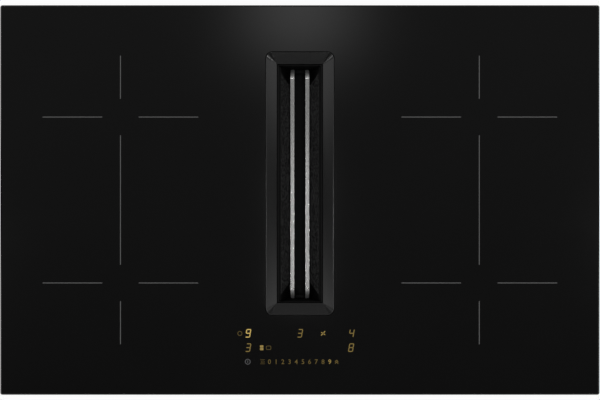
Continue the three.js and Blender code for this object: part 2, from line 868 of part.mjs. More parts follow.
function lowerCasing() {
  const shell = roundedSlab(
    LOWER_WIDTH,
    LOWER_DEPTH,
    18,
    COVER_THICKNESS + GAP,
    LOWER_TOP,
    LOWER_Y,
  );
  const inside = roundedSlab(
    LOWER_WIDTH - 2 * LOWER_WALL,
    LOWER_DEPTH - 2 * LOWER_WALL,
    18 - LOWER_WALL,
    COVER_THICKNESS - 1,
    LOWER_TOP - LOWER_WALL,
    LOWER_Y,
  );
  const ductReach = DUCT_WIDTH / 2 + 0.4;
  const ductRise = DUCT_HEIGHT / 2 + 0.4;
  const rear = LOWER_Y + LOWER_DEPTH / 2;
  const ductHole = block(
    -ductReach,
    ductReach,
    rear - 10,
    rear + 5,
    DUCT_Z - ductRise,
    DUCT_Z + ductRise,
  );
  return cut(shell, [inside, shaftPassage(LOWER_TOP - 6, LOWER_TOP + 1), ductHole]);
}

function lowerCover() {
  const clear = 2 * (LOWER_WALL + GAP);
  const rimWall = 2;
  const rimTop = 5.3;
  const rim = cut(
    roundedSlab(
      LOWER_WIDTH - clear,
      LOWER_DEPTH - clear,
      15,
      COVER_THICKNESS - 0.5,
      rimTop,
      LOWER_Y,
    ),
    [
      roundedSlab(
        LOWER_WIDTH - clear - 2 * rimWall,
        LOWER_DEPTH - clear - 2 * rimWall,
        13,
        COVER_THICKNESS - 1,
        rimTop + 1,
        LOWER_Y,
      ),
    ],
  );
  return roundedSlab(LOWER_WIDTH, LOWER_DEPTH, 18, 0, COVER_THICKNESS, LOWER_Y).add(rim);
}

place(cooktop, "lower_casing", lowerCasing(), blackPlastic);
place(cooktop, "lower_casing_cover", lowerCover(), greyPlastic);

// ---- Blower: scroll housing, motor, shaft, wheel and driver board ----

// The scroll's wall grows round the wheel, then opens to the duct's width at the rear.
function scrollOutline() {
  const tongueAngle = 50;
  const turns = 26;
  const mouthHalf = DUCT_WIDTH / 2 - 0.5;
  const mouthY = DUCT_START - GAP;
  const points = [];
  for (let i = 0; i <= turns; i++) {
    const share = i / turns;
    const angle = THREE.MathUtils.degToRad(tongueAngle + share * (360 - tongueAngle));
    const radius = SCROLL_START + share * (SCROLL_END - SCROLL_START);
    points.push(
      new THREE.Vector2(
        WHEEL_X + radius * Math.cos(angle),
        WHEEL_Y + radius * Math.sin(angle),
      ),
    );
  }
  const neckY = mouthY - 8;
  points.push(new THREE.Vector2(WHEEL_X + SCROLL_END, 95));
  points.push(new THREE.Vector2(mouthHalf, neckY));
  points.push(new THREE.Vector2(mouthHalf, mouthY));
  points.push(new THREE.Vector2(-mouthHalf, mouthY));
  points.push(new THREE.Vector2(-mouthHalf, neckY));
  points.push(new THREE.Vector2(12, 100));
  return points;
}

function blowerScroll() {
  const outline = scrollOutline();
  const cavity = inset(outline, SCROLL_WALL);
  const innerLow = SCROLL_BOTTOM + SCROLL_WALL;
  const innerHigh = SCROLL_TOP - SCROLL_WALL;
  const mouthHalf = DUCT_WIDTH / 2 - 0.5 - SCROLL_WALL;
  return cut(slab(outline, SCROLL_BOTTOM, SCROLL_TOP), [
    slab(cavity, innerLow, innerHigh),
    block(-mouthHalf, mouthHalf, DUCT_START - 5, DUCT_START + 2, innerLow, innerHigh),
    post(WHEEL_X, WHEEL_Y, SCROLL_INLET, innerHigh - 1, SCROLL_TOP + 1, 36),
  ]);
}

function blowerMotor() {
  const low = SCROLL_BOTTOM + SCROLL_WALL + GAP;
  return turned(
    [
      [0, low],
      [48, low],
      [48, low + 3],
      [40, low + 3],
      [40, 40],
      [35, 44],
      [4.6, 44],
      [4.6, 28],
      [0, 28],
    ],
    28,
  );
}

function blowerWheel() {
  const low = WHEEL_BOTTOM;
  const ringInner = 74;
  const hub = turned(
    [
      [4.3, 50],
      [10, 50],
      [43, 47.5],
      [46.5, 44],
      [50.5, low],
      [WHEEL_RADIUS, low],
      [WHEEL_RADIUS, low + 2.5],
      [53, low + 2.5],
      [49, 47],
      [45, 50.5],
      [12, 53],
      [9, 60],
      [4.3, 60],
      [4.3, 50],
    ],
    30,
  );
  const ring = post(0, 0, WHEEL_RADIUS, WHEEL_TOP - 2.5, WHEEL_TOP, BLADE_COUNT).subtract(
    post(0, 0, ringInner, WHEEL_TOP - 4, WHEEL_TOP + 1, BLADE_COUNT),
  );
  const pieces = [hub, ring];
  const height = WHEEL_TOP - low - 1;
  for (let i = 0; i < BLADE_COUNT; i++) {
    const blade = new THREE.BoxGeometry(14.5, 1.4, height).rotateZ(0.45);
    blade.translate(81.5, 0, low + 0.5 + height / 2);
    blade.rotateZ((i / BLADE_COUNT) * 2 * Math.PI);
    pieces.push(solidOf(blade));
  }
  return join(pieces);
}

function driverBoard() {
  const pieces = [block(126, 172, -140, -20, 22, 23.6)];
  for (const x of [130, 168])
    for (const y of [-134, -26])
      pieces.push(post(x, y, 3, COVER_THICKNESS + GAP, 23, 8));
  pieces.push(block(134, 158, -126, -104, 23, 40));
  pieces.push(post(150, -80, 9, 23, 42, 12));
  pieces.push(block(136, 164, -58, -40, 23, 32));
  return join(pieces);
}

place(cooktop, "blower_scroll", blowerScroll(), greyPlastic);
place(cooktop, "blower_motor", blowerMotor(), boltSteel, WHEEL_X, WHEEL_Y);
place(cooktop, "motor_shaft", post(0, 0, 4, 29, 66, 12), boltSteel, WHEEL_X, WHEEL_Y);
place(cooktop, "blower_wheel", blowerWheel(), blackPlastic, WHEEL_X, WHEEL_Y);
place(cooktop, "blower_driver_board", driverBoard(), boardGreen);

// ---- Outlet duct with its non-return flap ----

const FLAP_Y = 171.5;
const FLAP_Z = DUCT_Z + DUCT_HEIGHT / 2 - 6.5;
const PIN_RADIUS = 2;

function outletDuct() {
  const halfWidth = DUCT_WIDTH / 2;
  const halfHeight = DUCT_HEIGHT / 2;
  const outer = block(
    -halfWidth,
    halfWidth,
    DUCT_START,
    DUCT_END,
    DUCT_Z - halfHeight,
    DUCT_Z + halfHeight,
  );
  const bore = block(
    -halfWidth + DUCT_WALL,
    halfWidth - DUCT_WALL,
    DUCT_START - 1,
    DUCT_END + 1,
    DUCT_Z - halfHeight + DUCT_WALL,
    DUCT_Z + halfHeight - DUCT_WALL,
  );
  return cut(outer, [bore, crossRod(halfWidth + 2, FLAP_Y, FLAP_Z, PIN_RADIUS + 0.3, 12)]);
}

function outletFlap() {
  const reach = DUCT_WIDTH / 2 - DUCT_WALL - 1;
  const foot = DUCT_Z - DUCT_HEIGHT / 2 + DUCT_WALL + 1.5;
  const plate = block(-reach, reach, FLAP_Y - 0.8, FLAP_Y + 0.8, foot, FLAP_Z - 1);
  const knuckle = crossRod(reach, FLAP_Y, FLAP_Z, 4, 14);
  const stiffener = block(
    -reach + 12,
    reach - 12,
    FLAP_Y,
    FLAP_Y + 3.2,
    DUCT_Z - 12,
    DUCT_Z - 9,
  );
  return cut(join([plate, knuckle, stiffener]), [
    crossRod(reach + 2, FLAP_Y, FLAP_Z, PIN_RADIUS + 0.3, 12),
  ]);
}

place(cooktop, "outlet_duct", outletDuct(), greyPlastic);
place(cooktop, "outlet_flap", outletFlap(), blackPlastic);
place(
  cooktop,
  "flap_pin",
  crossRod(DUCT_WIDTH / 2 - 0.5, FLAP_Y, FLAP_Z, PIN_RADIUS, 12),
  boltSteel,
);

// ---- Worktop clamps: a claw that swings out on each of four screws ----

const CLAW_Z = 124;

function clampScrew() {
  return join([
    post(0, 0, 3, 114, LOWER_TOP, 12),
    post(0, 0, 6, 112, 116, 6),
    post(0, 0, 7.5, 116, 117.2, 16),
  ]);
}

// Parked under the casing: it points to the middle of the casing's side.
function clampClaw(sideY) {
  const length = 44;
  const halfWidth = 8;
  const far = -sideY * length;
  const near = sideY * halfWidth;
  const [front, rear] = [Math.min(far, near), Math.max(far, near)];
  const lip = -sideY * (length - 2.5);
  const [lipFront, lipRear] = [Math.min(far, lip), Math.max(far, lip)];
  return cut(
    join([
      block(-halfWidth, halfWidth, front, rear, CLAW_Z, CLAW_Z + 2.5),
      block(-halfWidth, halfWidth, lipFront, lipRear, CLAW_Z, CLAW_Z + 14),
      post(0, 0, 6.5, 118, CLAW_Z + 1, 16),
    ]),
    [post(0, 0, 3.3, 110, CLAW_Z + 5, 12)],
  );
}

for (const [name, sideX, sideY] of STATIONS) {
  const corner = new THREE.Group();
  corner.position.set(sideX * CLAMP_X, sideY * CLAMP_Y, 0);
  cooktop.add(corner);
  place(corner, name + "_clamp_screw", clampScrew(), boltSteel);
  place(corner, name + "_clamp", clampClaw(sideY), zincSheet);
}

export default cooktop;
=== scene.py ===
# A downdraft induction cooktop in black glass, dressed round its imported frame. The sections
# follow the object as it is put together, from the blower's box under the worktop to the steel
# bars in the intake. The room and the lights come last.

import math

import bmesh
import bpy
from mathutils import Matrix, Vector


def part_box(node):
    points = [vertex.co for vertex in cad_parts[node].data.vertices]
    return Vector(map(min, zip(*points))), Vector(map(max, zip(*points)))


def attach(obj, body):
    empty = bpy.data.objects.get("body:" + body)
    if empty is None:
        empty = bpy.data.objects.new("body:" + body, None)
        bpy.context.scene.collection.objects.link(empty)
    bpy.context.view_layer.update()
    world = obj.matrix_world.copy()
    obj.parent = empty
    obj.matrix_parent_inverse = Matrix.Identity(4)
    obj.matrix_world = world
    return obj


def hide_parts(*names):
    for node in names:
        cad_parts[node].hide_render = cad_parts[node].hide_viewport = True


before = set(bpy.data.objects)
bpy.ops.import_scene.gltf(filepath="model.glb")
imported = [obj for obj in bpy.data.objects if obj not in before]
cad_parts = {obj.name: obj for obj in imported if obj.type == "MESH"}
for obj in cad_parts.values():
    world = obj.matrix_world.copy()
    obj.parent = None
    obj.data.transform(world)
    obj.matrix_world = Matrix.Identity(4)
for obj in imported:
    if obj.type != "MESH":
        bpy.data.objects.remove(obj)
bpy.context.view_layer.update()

MM = 0.001

# ---- Camera ----
# The photograph looks straight down on the middle of the glass. A 50 mm lens takes in the
# 800 mm of glass from 1.11 m above it.

CAMERA_HEIGHT = 1111 * MM
CAMERA_ASIDE = 0.17 * MM
glass_low, glass_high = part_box("glass_top")
camera = bpy.data.objects.new("camera", bpy.data.cameras.new("camera"))
camera.data.lens = 50
camera.location = (CAMERA_ASIDE, 0, glass_high.z + CAMERA_HEIGHT)
bpy.context.scene.collection.objects.link(camera)
bpy.context.scene.camera = camera

# ---- Lower casing and its cover ----
# The box that holds the blower under the worktop: injection-moulded black polypropylene with
# upright ribs, and a grey cover that snaps on from below with a row of clips.


class Field:
    """A shader socket that takes part in sums: each operator adds its own Math node."""

    def __init__(self, tree, socket=None):
        self.tree = tree
        self.socket = socket

    def node(self, kind, settings=None, inputs=None, output=0):
        """Adds any node: its settings are made first, then its sockets get values or links."""
        made = self.tree.nodes.new("ShaderNode" + kind)
        for name, value in (settings or {}).items():
            if name == "stops":
                for element, (position, level) in zip(made.color_ramp.elements, value):
                    element.position = position
                    element.color = (level, level, level, 1)
            else:
                setattr(made, name, value)
        for name, value in (inputs or {}).items():
            if isinstance(value, Field):
                self.tree.links.new(value.socket, made.inputs[name])
            else:
                made.inputs[name].default_value = value
        return Field(self.tree, made.outputs[output])

    def math(self, operation, *values):
        return self.node("Math", {"operation": operation}, dict(enumerate(values)))

    def mix(self, first, second):
        """The first colour where this is 0, and the second where it is 1."""
        return self.node("Mix", {"data_type": "RGBA"}, {0: self, 6: first, 7: second}, 2)

    def feed(self, shader, name):
        self.tree.links.new(self.socket, shader.inputs[name])

    def __add__(self, other):
        return self.math("ADD", self, other)

    def __radd__(self, other):
        return self.math("ADD", other, self)

    def __sub__(self, other):
        return self.math("SUBTRACT", self, other)

    def __rsub__(self, other):
        return self.math("SUBTRACT", other, self)

    def __mul__(self, other):
        return self.math("MULTIPLY", self, other)

    def __rmul__(self, other):
        return self.math("MULTIPLY", other, self)


def grey(level):
    return (level, level, level, 1)


def new_finish(name, metallic=0.0):
    """A material, its surface shader and the place on the object."""
    material = bpy.data.materials.new(name)
    material.use_nodes = True
    surface = material.node_tree.nodes["Principled BSDF"]
    surface.inputs["Metallic"].default_value = metallic
    return material, surface, Field(material.node_tree).node("TexCoord", output="Object")


def cloud(place, size, detail=2, stretch=(1, 1, 1)):
    """Noise with features of about this size, drawn out along an axis where stretch is large."""
    scale = tuple(1 / share for share in stretch)
    drawn = place.node("Mapping", inputs={"Vector": place, "Scale": scale})
    inputs = {"Vector": drawn, "Scale": 1 / size, "Detail": detail}
    return place.node("TexNoise", inputs=inputs, output="Fac")


def relief(surface, height, depth):
    """Bumps of this depth in metres."""
    bump = height.node("Bump", inputs={"Height": height, "Distance": depth}, output="Normal")
    bump.feed(surface, "Normal")


def moulded_plastic(name, dark, light, roughness):
    """Spark-eroded grain from the mould, with slow flow marks in its colour and gloss."""
    material, surface, place = new_finish(name)
    flow = cloud(place, 70 * MM, 4)
    grain = cloud(place, 0.6 * MM)
    flow.mix(dark, light).feed(surface, "Base Color")
    (roughness + (grain - 0.5) * 0.25 + (flow - 0.5) * 0.15).feed(surface, "Roughness")
    relief(surface, grain, 0.04 * MM)
    return material


black_plastic = moulded_plastic("black_plastic", grey(0.013), grey(0.024), 0.5)
grey_plastic = moulded_plastic("grey_plastic", (0.09, 0.1, 0.105, 1), (0.125, 0.135, 0.14, 1), 0.5)


def select_only(obj):
    if bpy.context.mode != "OBJECT":
        bpy.ops.object.mode_set(mode="OBJECT")
    bpy.ops.object.select_all(action="DESELECT")
    obj.select_set(True)
    bpy.context.view_layer.objects.active = obj


def edit(obj, kind="FACE"):
    """Goes into edit mode on one object, with nothing selected."""
    select_only(obj)
    bpy.ops.object.mode_set(mode="EDIT")
    bpy.ops.mesh.select_mode(type=kind)
    bpy.ops.mesh.select_all(action="DESELECT")


def pick(test):
    """In edit mode, selects each face, edge or corner whose middle passes the test."""
    mesh = bpy.context.edit_object.data
    shape = bmesh.from_edit_mesh(mesh)
    kind = next(iter(shape.select_mode))
    for item in {"VERT": shape.verts, "EDGE": shape.edges, "FACE": shape.faces}[kind]:
        corners = [item] if kind == "VERT" else item.verts
        middle = sum((corner.co for corner in corners), Vector()) / len(corners)
        if test(middle, item):
            item.select_set(True)
    shape.select_flush_mode()
    bmesh.update_edit_mesh(mesh)


def take_all():
    """In edit mode, selects the whole mesh."""
    bpy.ops.mesh.select_all(action="SELECT")


def leave_edit():
    bpy.ops.object.mode_set(mode="OBJECT")


def settle(name=None):
    """Puts the active piece's place and turn into its mesh, and names it."""
    bpy.ops.object.transform_apply(location=True, rotation=True, scale=True)
    obj = bpy.context.object
    if name:
        obj.name = name
        obj.data.name = name
    return obj


def modify(obj, kind, **settings):
    """Adds one modifier and applies it."""
    select_only(obj)
    modifier = obj.modifiers.new(kind, kind)
    for name, value in settings.items():
        setattr(modifier, name, value)
    bpy.ops.object.modifier_apply(modifier=modifier.name)


def smooth(obj, angle=35):
    select_only(obj)
    bpy.ops.object.shade_smooth_by_angle(angle=math.radians(angle))


def soften(obj, radius, steps=2, angle=40):
    """Rounds each edge that turns by more than the angle."""
    limit = math.radians(angle)
    modify(obj, "BEVEL", width=radius, segments=steps, limit_method="ANGLE", angle_limit=limit)
    smooth(obj)


def paint(obj, material):
    obj.data.materials.clear()
    obj.data.materials.append(material)


def soft_copy(node, radius, material):
    """A CAD solid's copy as one clean mesh with rounded edges."""
    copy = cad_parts[node].copy()
    copy.data = copy.data.copy()
    for key in list(copy.keys()):
        del copy[key]
    copy.parent = None
    copy.name = node + "_fine"
    bpy.context.scene.collection.objects.link(copy)
    edit(copy, "VERT")
    take_all()
    bpy.ops.mesh.remove_doubles(threshold=0.002 * MM)
    bpy.ops.mesh.dissolve_limited(angle_limit=math.radians(0.5))
    leave_edit()
    soften(copy, radius)
    paint(copy, material)
    return copy


def placed_copy(obj, place):
    """A copy with its own mesh, moved by a matrix."""
    copy = obj.copy()
    copy.data = obj.data.copy()
    bpy.context.scene.collection.objects.link(copy)
    copy.data.transform(place)
    return copy


def moved(x, y, z):
    return Matrix.Translation((x, y, z))


def turned(degrees, axis="Z"):
    return Matrix.Rotation(math.radians(degrees), 4, axis)


def joined(objs, name):
    """Several like objects as one piece."""
    bpy.ops.object.select_all(action="DESELECT")
    for obj in objs:
        obj.select_set(True)
    bpy.context.view_layer.objects.active = objs[0]
    if len(objs) > 1:
        bpy.ops.object.join()
    objs[0].name = name
    objs[0].data.name = name
    return objs[0]


def block(name, low, high):
    """A box between two corners."""
    low, high = Vector(low), Vector(high)
    bpy.ops.mesh.primitive_cube_add(size=1, location=(low + high) / 2)
    bpy.context.object.scale = high - low
    return settle(name)


def draw_up(height):
    """In edit mode, draws a flat outline upwards and closes it with its faces outwards."""
    take_all()
    bpy.ops.mesh.extrude_region_move(TRANSFORM_OT_translate={"value": (0, 0, height)})
    take_all()
    bpy.ops.mesh.normals_make_consistent(inside=False)
    leave_edit()


def rounded_plate(name, low, high, corner, steps=6):
    """A flat plate between two corners, whose outline is rounded and then drawn upwards."""
    low, high = Vector(low), Vector(high)
    middle = (low + high) / 2
    bpy.ops.mesh.primitive_plane_add(size=1, location=(middle.x, middle.y, low.z))
    bpy.context.object.scale = (high.x - low.x, high.y - low.y, 1)
    plate = settle(name)
    edit(plate, "VERT")
    take_all()
    bpy.ops.mesh.bevel(offset=corner, segments=steps, affect="VERTICES")
    draw_up(high.z - low.z)
    return plate


def cut_away(obj, tool):
    """Takes the tool's shape out of the piece."""
    modify(obj, "BOOLEAN", object=tool, operation="DIFFERENCE", solver="EXACT")
    bpy.data.objects.remove(tool)


def repaint(obj, material, test):
    """Gives another material to each face whose middle passes the test."""
    obj.data.materials.append(material)
    for face in obj.data.polygons:
        if test(face.center):
            face.material_index = len(obj.data.materials) - 1


def declare(piece, body, node=None):
    """Says what the piece moves with, and hides the solid it stands for."""
    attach(piece, body)
    if node:
        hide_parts(node)


def dress(node, material, radius, body="hob"):
    """Replaces a CAD solid by its copy with rounded edges."""
    piece = soft_copy(node, radius, material)
    declare(piece, body, node)
    return piece


def add_piece(objs, name, material):
    """Several new like shapes as one fixed piece of the object."""
    piece = joined(objs, name)
    paint(piece, material)
    declare(piece, "hob")


casing_low, casing_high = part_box("lower_casing")
casing_middle = (casing_low + casing_high) / 2
RIB_PITCH = 36 * MM
RIB_WIDTH = 2.4 * MM
RIB_PROUD = 1.8 * MM
RIB_FOOT = 22 * MM
BAND_LOW = 131 * MM
BAND_HIGH = 134 * MM
BAND_PROUD = 4 * MM
CASING_CORNER = 17 * MM
SIDE_RIBS = 9
FRONT_RIBS = 9
REAR_RIB_PLACES = (-158 * MM, -131 * MM, 131 * MM, 158 * MM)

dress("lower_casing", black_plastic, 0.8 * MM)
dress("lower_casing_cover", grey_plastic, 0.8 * MM)


def wall_rib(x, y, along_x):
    """An upright rib that stands out of the wall and is rooted in it."""
    half = Vector((RIB_WIDTH / 2, RIB_PROUD) if along_x else (RIB_PROUD, RIB_WIDTH / 2))
    low = (x - half.x, y - half.y, RIB_FOOT)
    high = (x + half.x, y + half.y, BAND_LOW + 1 * MM)
    return rounded_plate("rib", low, high, 0.7 * MM, 3)


ribs = []
for i in range(FRONT_RIBS):
    x = (i - (FRONT_RIBS - 1) / 2) * RIB_PITCH
    ribs.append(wall_rib(x, casing_low.y, True))
for x in REAR_RIB_PLACES:
    ribs.append(wall_rib(x, casing_high.y, True))
for i in range(SIDE_RIBS):
    y = casing_middle.y + (i - (SIDE_RIBS - 1) / 2) * RIB_PITCH
    for x in (casing_low.x, casing_high.x):
        ribs.append(wall_rib(x, y, False))
out = Vector((BAND_PROUD, BAND_PROUD, 0))
flat_low = Vector((casing_low.x, casing_low.y, BAND_LOW))
flat_high = Vector((casing_high.x, casing_high.y, BAND_HIGH))
band = rounded_plate("band", flat_low - out, flat_high + out, CASING_CORNER + 5 * MM, 10)
wall = Vector((1 * MM, 1 * MM, -1 * MM))
cut_away(band, rounded_plate("cutter", flat_low + wall, flat_high - wall, CASING_CORNER, 10))
soften(band, 0.6 * MM)
add_piece(ribs + [band], "casing_ribs", black_plastic)

CLIP_WIDTH = 16 * MM
CLIP_LOW = 0.8 * MM
CLIP_TOP = 18 * MM
CLIP_THICKNESS = 2 * MM
CLIP_FRAME = 3 * MM
WINDOW_DROP = (9 * MM, 3.5 * MM)
NUB_GAP = 0.6 * MM
NUB_DROP = (6.5 * MM, 3.7 * MM)
NUB_RAMP = 1.4 * MM

half_clip = CLIP_WIDTH / 2
clip = block("clip", (-half_clip, -CLIP_THICKNESS, CLIP_LOW), (half_clip, 0.3 * MM, CLIP_TOP))
half_window = half_clip - CLIP_FRAME
window_low = (-half_window, -CLIP_THICKNESS - MM, CLIP_TOP - WINDOW_DROP[0])
window_high = (half_window, MM, CLIP_TOP - WINDOW_DROP[1])
cut_away(clip, block("cutter", window_low, window_high))
soften(clip, 0.5 * MM)
half_nub = half_window - NUB_GAP
nub_low = (-half_nub, -CLIP_THICKNESS + 0.2 * MM, CLIP_TOP - NUB_DROP[0])
nub = block("nub", nub_low, (half_nub, 0.5 * MM, CLIP_TOP - NUB_DROP[1]))
edit(nub, "EDGE")
pick(lambda middle, edge: middle.y < 0 and middle.z > CLIP_TOP - 4 * MM)
bpy.ops.mesh.bevel(offset=NUB_RAMP, segments=2)
leave_edit()


def on_casing_walls(front, rear, sides):
    """Places on the casing's walls: x in mm in front and at the rear, y in mm on both sides."""
    places = [moved(x * MM, casing_low.y, 0) for x in front]
    places += [moved(x * MM, casing_high.y, 0) @ turned(180) for x in rear]
    for y in sides:
        places.append(moved(casing_low.x, y * MM, 0) @ turned(-90))
        places.append(moved(casing_high.x, y * MM, 0) @ turned(90))
    return places


clip_places = on_casing_walls((-118, 0, 118), (-144.5, 144.5), (-101, 7, 115))
clips = [placed_copy(clip, place) for place in clip_places]
nubs = [placed_copy(nub, place) for place in clip_places]
bpy.data.objects.remove(clip)
bpy.data.objects.remove(nub)
add_piece(clips, "cover_clips", grey_plastic)
add_piece(nubs, "casing_nubs", black_plastic)

# ---- Blower ----
# A radial blower: a grey scroll housing in two halves, a black wheel with thirty blades on a
# steel shaft, an external-rotor motor, and the board that drives it.


def plated_steel(name, dark, light, roughness):
    """Zinc plate on turned or pressed steel, with a cloudy gloss and fine scratches."""
    material, surface, place = new_finish(name, 1)
    haze = cloud(place, 9 * MM, 4)
    scratch = cloud(place, 0.25 * MM, 2, (12, 1, 1))
    haze.mix(dark, light).feed(surface, "Base Color")
    (roughness + (haze - 0.5) * 0.2 + (scratch - 0.5) * 0.15).feed(surface, "Roughness")
    relief(surface, scratch, 0.01 * MM)
    return material


def circuit_board(name):
    """Green solder mask over copper tracks, with tinned pads in a grid."""
    material, surface, place = new_finish(name)
    settings = {"voronoi_dimensions": "2D", "feature": "DISTANCE_TO_EDGE"}
    cells = {"Vector": place, "Scale": 1 / (9 * MM), "Randomness": 0.8}
    edge = place.node("TexVoronoi", settings, cells, "Distance")
    track = edge.math("LESS_THAN", edge, 0.07)
    dots = {"Vector": place, "Scale": 1 / (5.08 * MM), "Randomness": 0.0}
    pad_place = place.node("TexVoronoi", {"voronoi_dimensions": "2D"}, dots, "Distance")
    pad = pad_place.math("LESS_THAN", pad_place, 0.16)
    mask = track.mix((0.012, 0.085, 0.04, 1), (0.03, 0.17, 0.075, 1))
    pad.mix(mask, (0.5, 0.5, 0.47, 1)).feed(surface, "Base Color")
    pad.feed(surface, "Metallic")
    (0.32 + cloud(place, 2 * MM) * 0.15).feed(surface, "Roughness")
    relief(surface, track + pad * 2, 0.03 * MM)
    return material


bolt_steel = plated_steel("bolt_steel", (0.27, 0.28, 0.29, 1), (0.4, 0.4, 0.39, 1), 0.35)
board_green = circuit_board("circuit_board")
copper = plated_steel("copper", (0.42, 0.17, 0.08, 1), (0.62, 0.3, 0.17, 1), 0.32)
capacitor = moulded_plastic("capacitor_sleeve", grey(0.01), grey(0.02), 0.35)

dress("blower_scroll", grey_plastic, 0.6 * MM)
dress("blower_motor", bolt_steel, 0.8 * MM)
dress("motor_shaft", bolt_steel, 0.4 * MM, "blower_rotor")
dress("blower_wheel", black_plastic, 0.2 * MM, "blower_rotor")
DRIVER_BOARD_Z = 23.6 * MM
driver = dress("blower_driver_board", board_green, 0.3 * MM)
parts_z = DRIVER_BOARD_Z + 0.3 * MM
repaint(driver, capacitor, lambda c: c.z > parts_z and -95 * MM < c.y < -65 * MM)
repaint(driver, copper, lambda c: c.z > parts_z and c.y < -95 * MM)
repaint(driver, grey_plastic, lambda c: c.z > parts_z and c.y > -65 * MM)

HEAD_RADIUS = 3.6 * MM
HEAD_HEIGHT = 2.4 * MM
RECESS_WIDTH = 1.1 * MM
RECESS_LENGTH = 4.2 * MM
RECESS_DEPTH = 1.3 * MM
HEAD_ROUND = 1.1 * MM

bpy.ops.mesh.primitive_cylinder_add(
    vertices=24, radius=HEAD_RADIUS, depth=HEAD_HEIGHT, location=(0, 0, -HEAD_HEIGHT / 2)
)
screw_head = settle("screw_head")
edit(screw_head)
pick(lambda middle, face: face.normal.z < -0.9)
bpy.ops.mesh.bevel(offset=HEAD_ROUND, segments=4)
leave_edit()
for reach in ((RECESS_LENGTH, RECESS_WIDTH), (RECESS_WIDTH, RECESS_LENGTH)):
    low = (-reach[0] / 2, -reach[1] / 2, -HEAD_HEIGHT - MM)
    high = (reach[0] / 2, reach[1] / 2, -HEAD_HEIGHT + RECESS_DEPTH)
    cut_away(screw_head, block("cutter", low, high))
smooth(screw_head)


def screws(name, places):
    """Pan heads, each with its face down before its matrix places it."""
    heads = [placed_copy(screw_head, place) for place in places]
    add_piece(heads, name, bolt_steel)


LUG_WIDTH = 17 * MM
LUG_REACH = 13 * MM
LUG_TOP = 141.4 * MM

lug = rounded_plate(
    "lug",
    (-LUG_WIDTH / 2, -LUG_REACH, BAND_LOW + 0.2 * MM),
    (LUG_WIDTH / 2, 1 * MM, LUG_TOP),
    4 * MM,
)
soften(lug, 0.5 * MM)
lug_places = on_casing_walls((-90, 90), (-90, 90), (-92, 142))
lugs = [placed_copy(lug, place) for place in lug_places]
bpy.data.objects.remove(lug)
add_piece(lugs, "casing_lugs", black_plastic)
drop = moved(0, -LUG_REACH / 2 - 1 * MM, BAND_LOW + 0.3 * MM)
screws("casing_screws", [place @ drop for place in lug_places])

# ---- Outlet duct and its flap ----
# A short grey duct of 222 by 89 mm leaves at the rear. A black flap hangs in it on a steel pin
# and keeps cold air out when the blower stands still.

duct_low, duct_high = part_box("outlet_duct")
duct_middle = (duct_low + duct_high) / 2
RING_PROUD = 1.8 * MM
RING_WIDTH = 3 * MM
RING_PLACES = (9 * MM, 15 * MM)

dress("outlet_duct", grey_plastic, 0.5 * MM)
dress("outlet_flap", black_plastic, 0.3 * MM, "flap")
dress("flap_pin", bolt_steel, 0.2 * MM)


def foam_rubber():
    """Closed-cell foam, matte, with pores that catch a little light."""
    material, surface, place = new_finish("rubber")
    pores = cloud(place, 0.7 * MM, 3)
    pores.mix(grey(0.008), grey(0.02)).feed(surface, "Base Color")
    (0.75 + pores * 0.2).feed(surface, "Roughness")
    relief(surface, pores, 0.15 * MM)
    return material


rubber = foam_rubber()
rings = []
half = Vector((duct_high.x - duct_low.x, duct_high.z - duct_low.z, RING_WIDTH)) / 2
proud = Vector((RING_PROUD, RING_PROUD, 0))
sunk = Vector((0.6 * MM, 0.6 * MM, -MM))
for step_in in RING_PLACES:
    band = rounded_plate("seal", -half - proud, half + proud, 2 * MM, 4)
    cut_away(band, block("cutter", -half + sunk, half - sunk))
    soften(band, 0.8 * MM, 3)
    place = moved(duct_middle.x, duct_high.y - step_in, duct_middle.z) @ turned(90, "X")
    band.data.transform(place)
    rings.append(band)
add_piece(rings, "duct_seals", rubber)

# ---- Upper casing ----
# A tray folded from zinc-coated sheet, which fills the worktop's cut-out and carries the coils
# and the electronics.


def zinc_coated_sheet():
    """Spangle: crystals a few millimetres wide that differ in shade and gloss."""
    material, surface, place = new_finish("zinc_sheet", 1)
    crystals = {"Vector": place, "Scale": 1 / (7 * MM)}
    shade = place.node("TexVoronoi", inputs=crystals, output="Color")
    level = shade.node("SeparateColor", inputs={"Color": shade})
    haze = cloud(place, 30 * MM, 4)
    tone = level * 0.6 + haze * 0.4
    tone.mix((0.33, 0.35, 0.37, 1), (0.5, 0.52, 0.54, 1)).feed(surface, "Base Color")
    (0.3 + level * 0.2 + haze * 0.1).feed(surface, "Roughness")
    relief(surface, cloud(place, 1.5 * MM), 0.02 * MM)
    return material


zinc_sheet = zinc_coated_sheet()

tray_low, tray_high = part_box("upper_casing")
TAB_WIDTH = 18 * MM
TAB_INSET = 9 * MM
TAB_THICKNESS = 1 * MM
BEAD_WIDTH = 7 * MM
BEAD_HEIGHT = 1.4 * MM
BEAD_INSET = 70 * MM
RIVET_RADIUS = 2.6 * MM
RIVET_HEIGHT = 1.6 * MM
RIVET_ROUND = 1.3 * MM
RIVET_OFFSET = 14 * MM

dress("upper_casing", zinc_sheet, 0.4 * MM)


def wall_plate(name, width, height, thickness, corner):
    """A plate that lies on a wall which faces the front, with its middle at the origin."""
    half = Vector((width, height, 0)) / 2
    plate = rounded_plate(name, -half, half + Vector((0, 0, thickness)), corner, 5)
    soften(plate, thickness * 0.45, 2)
    plate.data.transform(turned(90, "X"))
    return plate


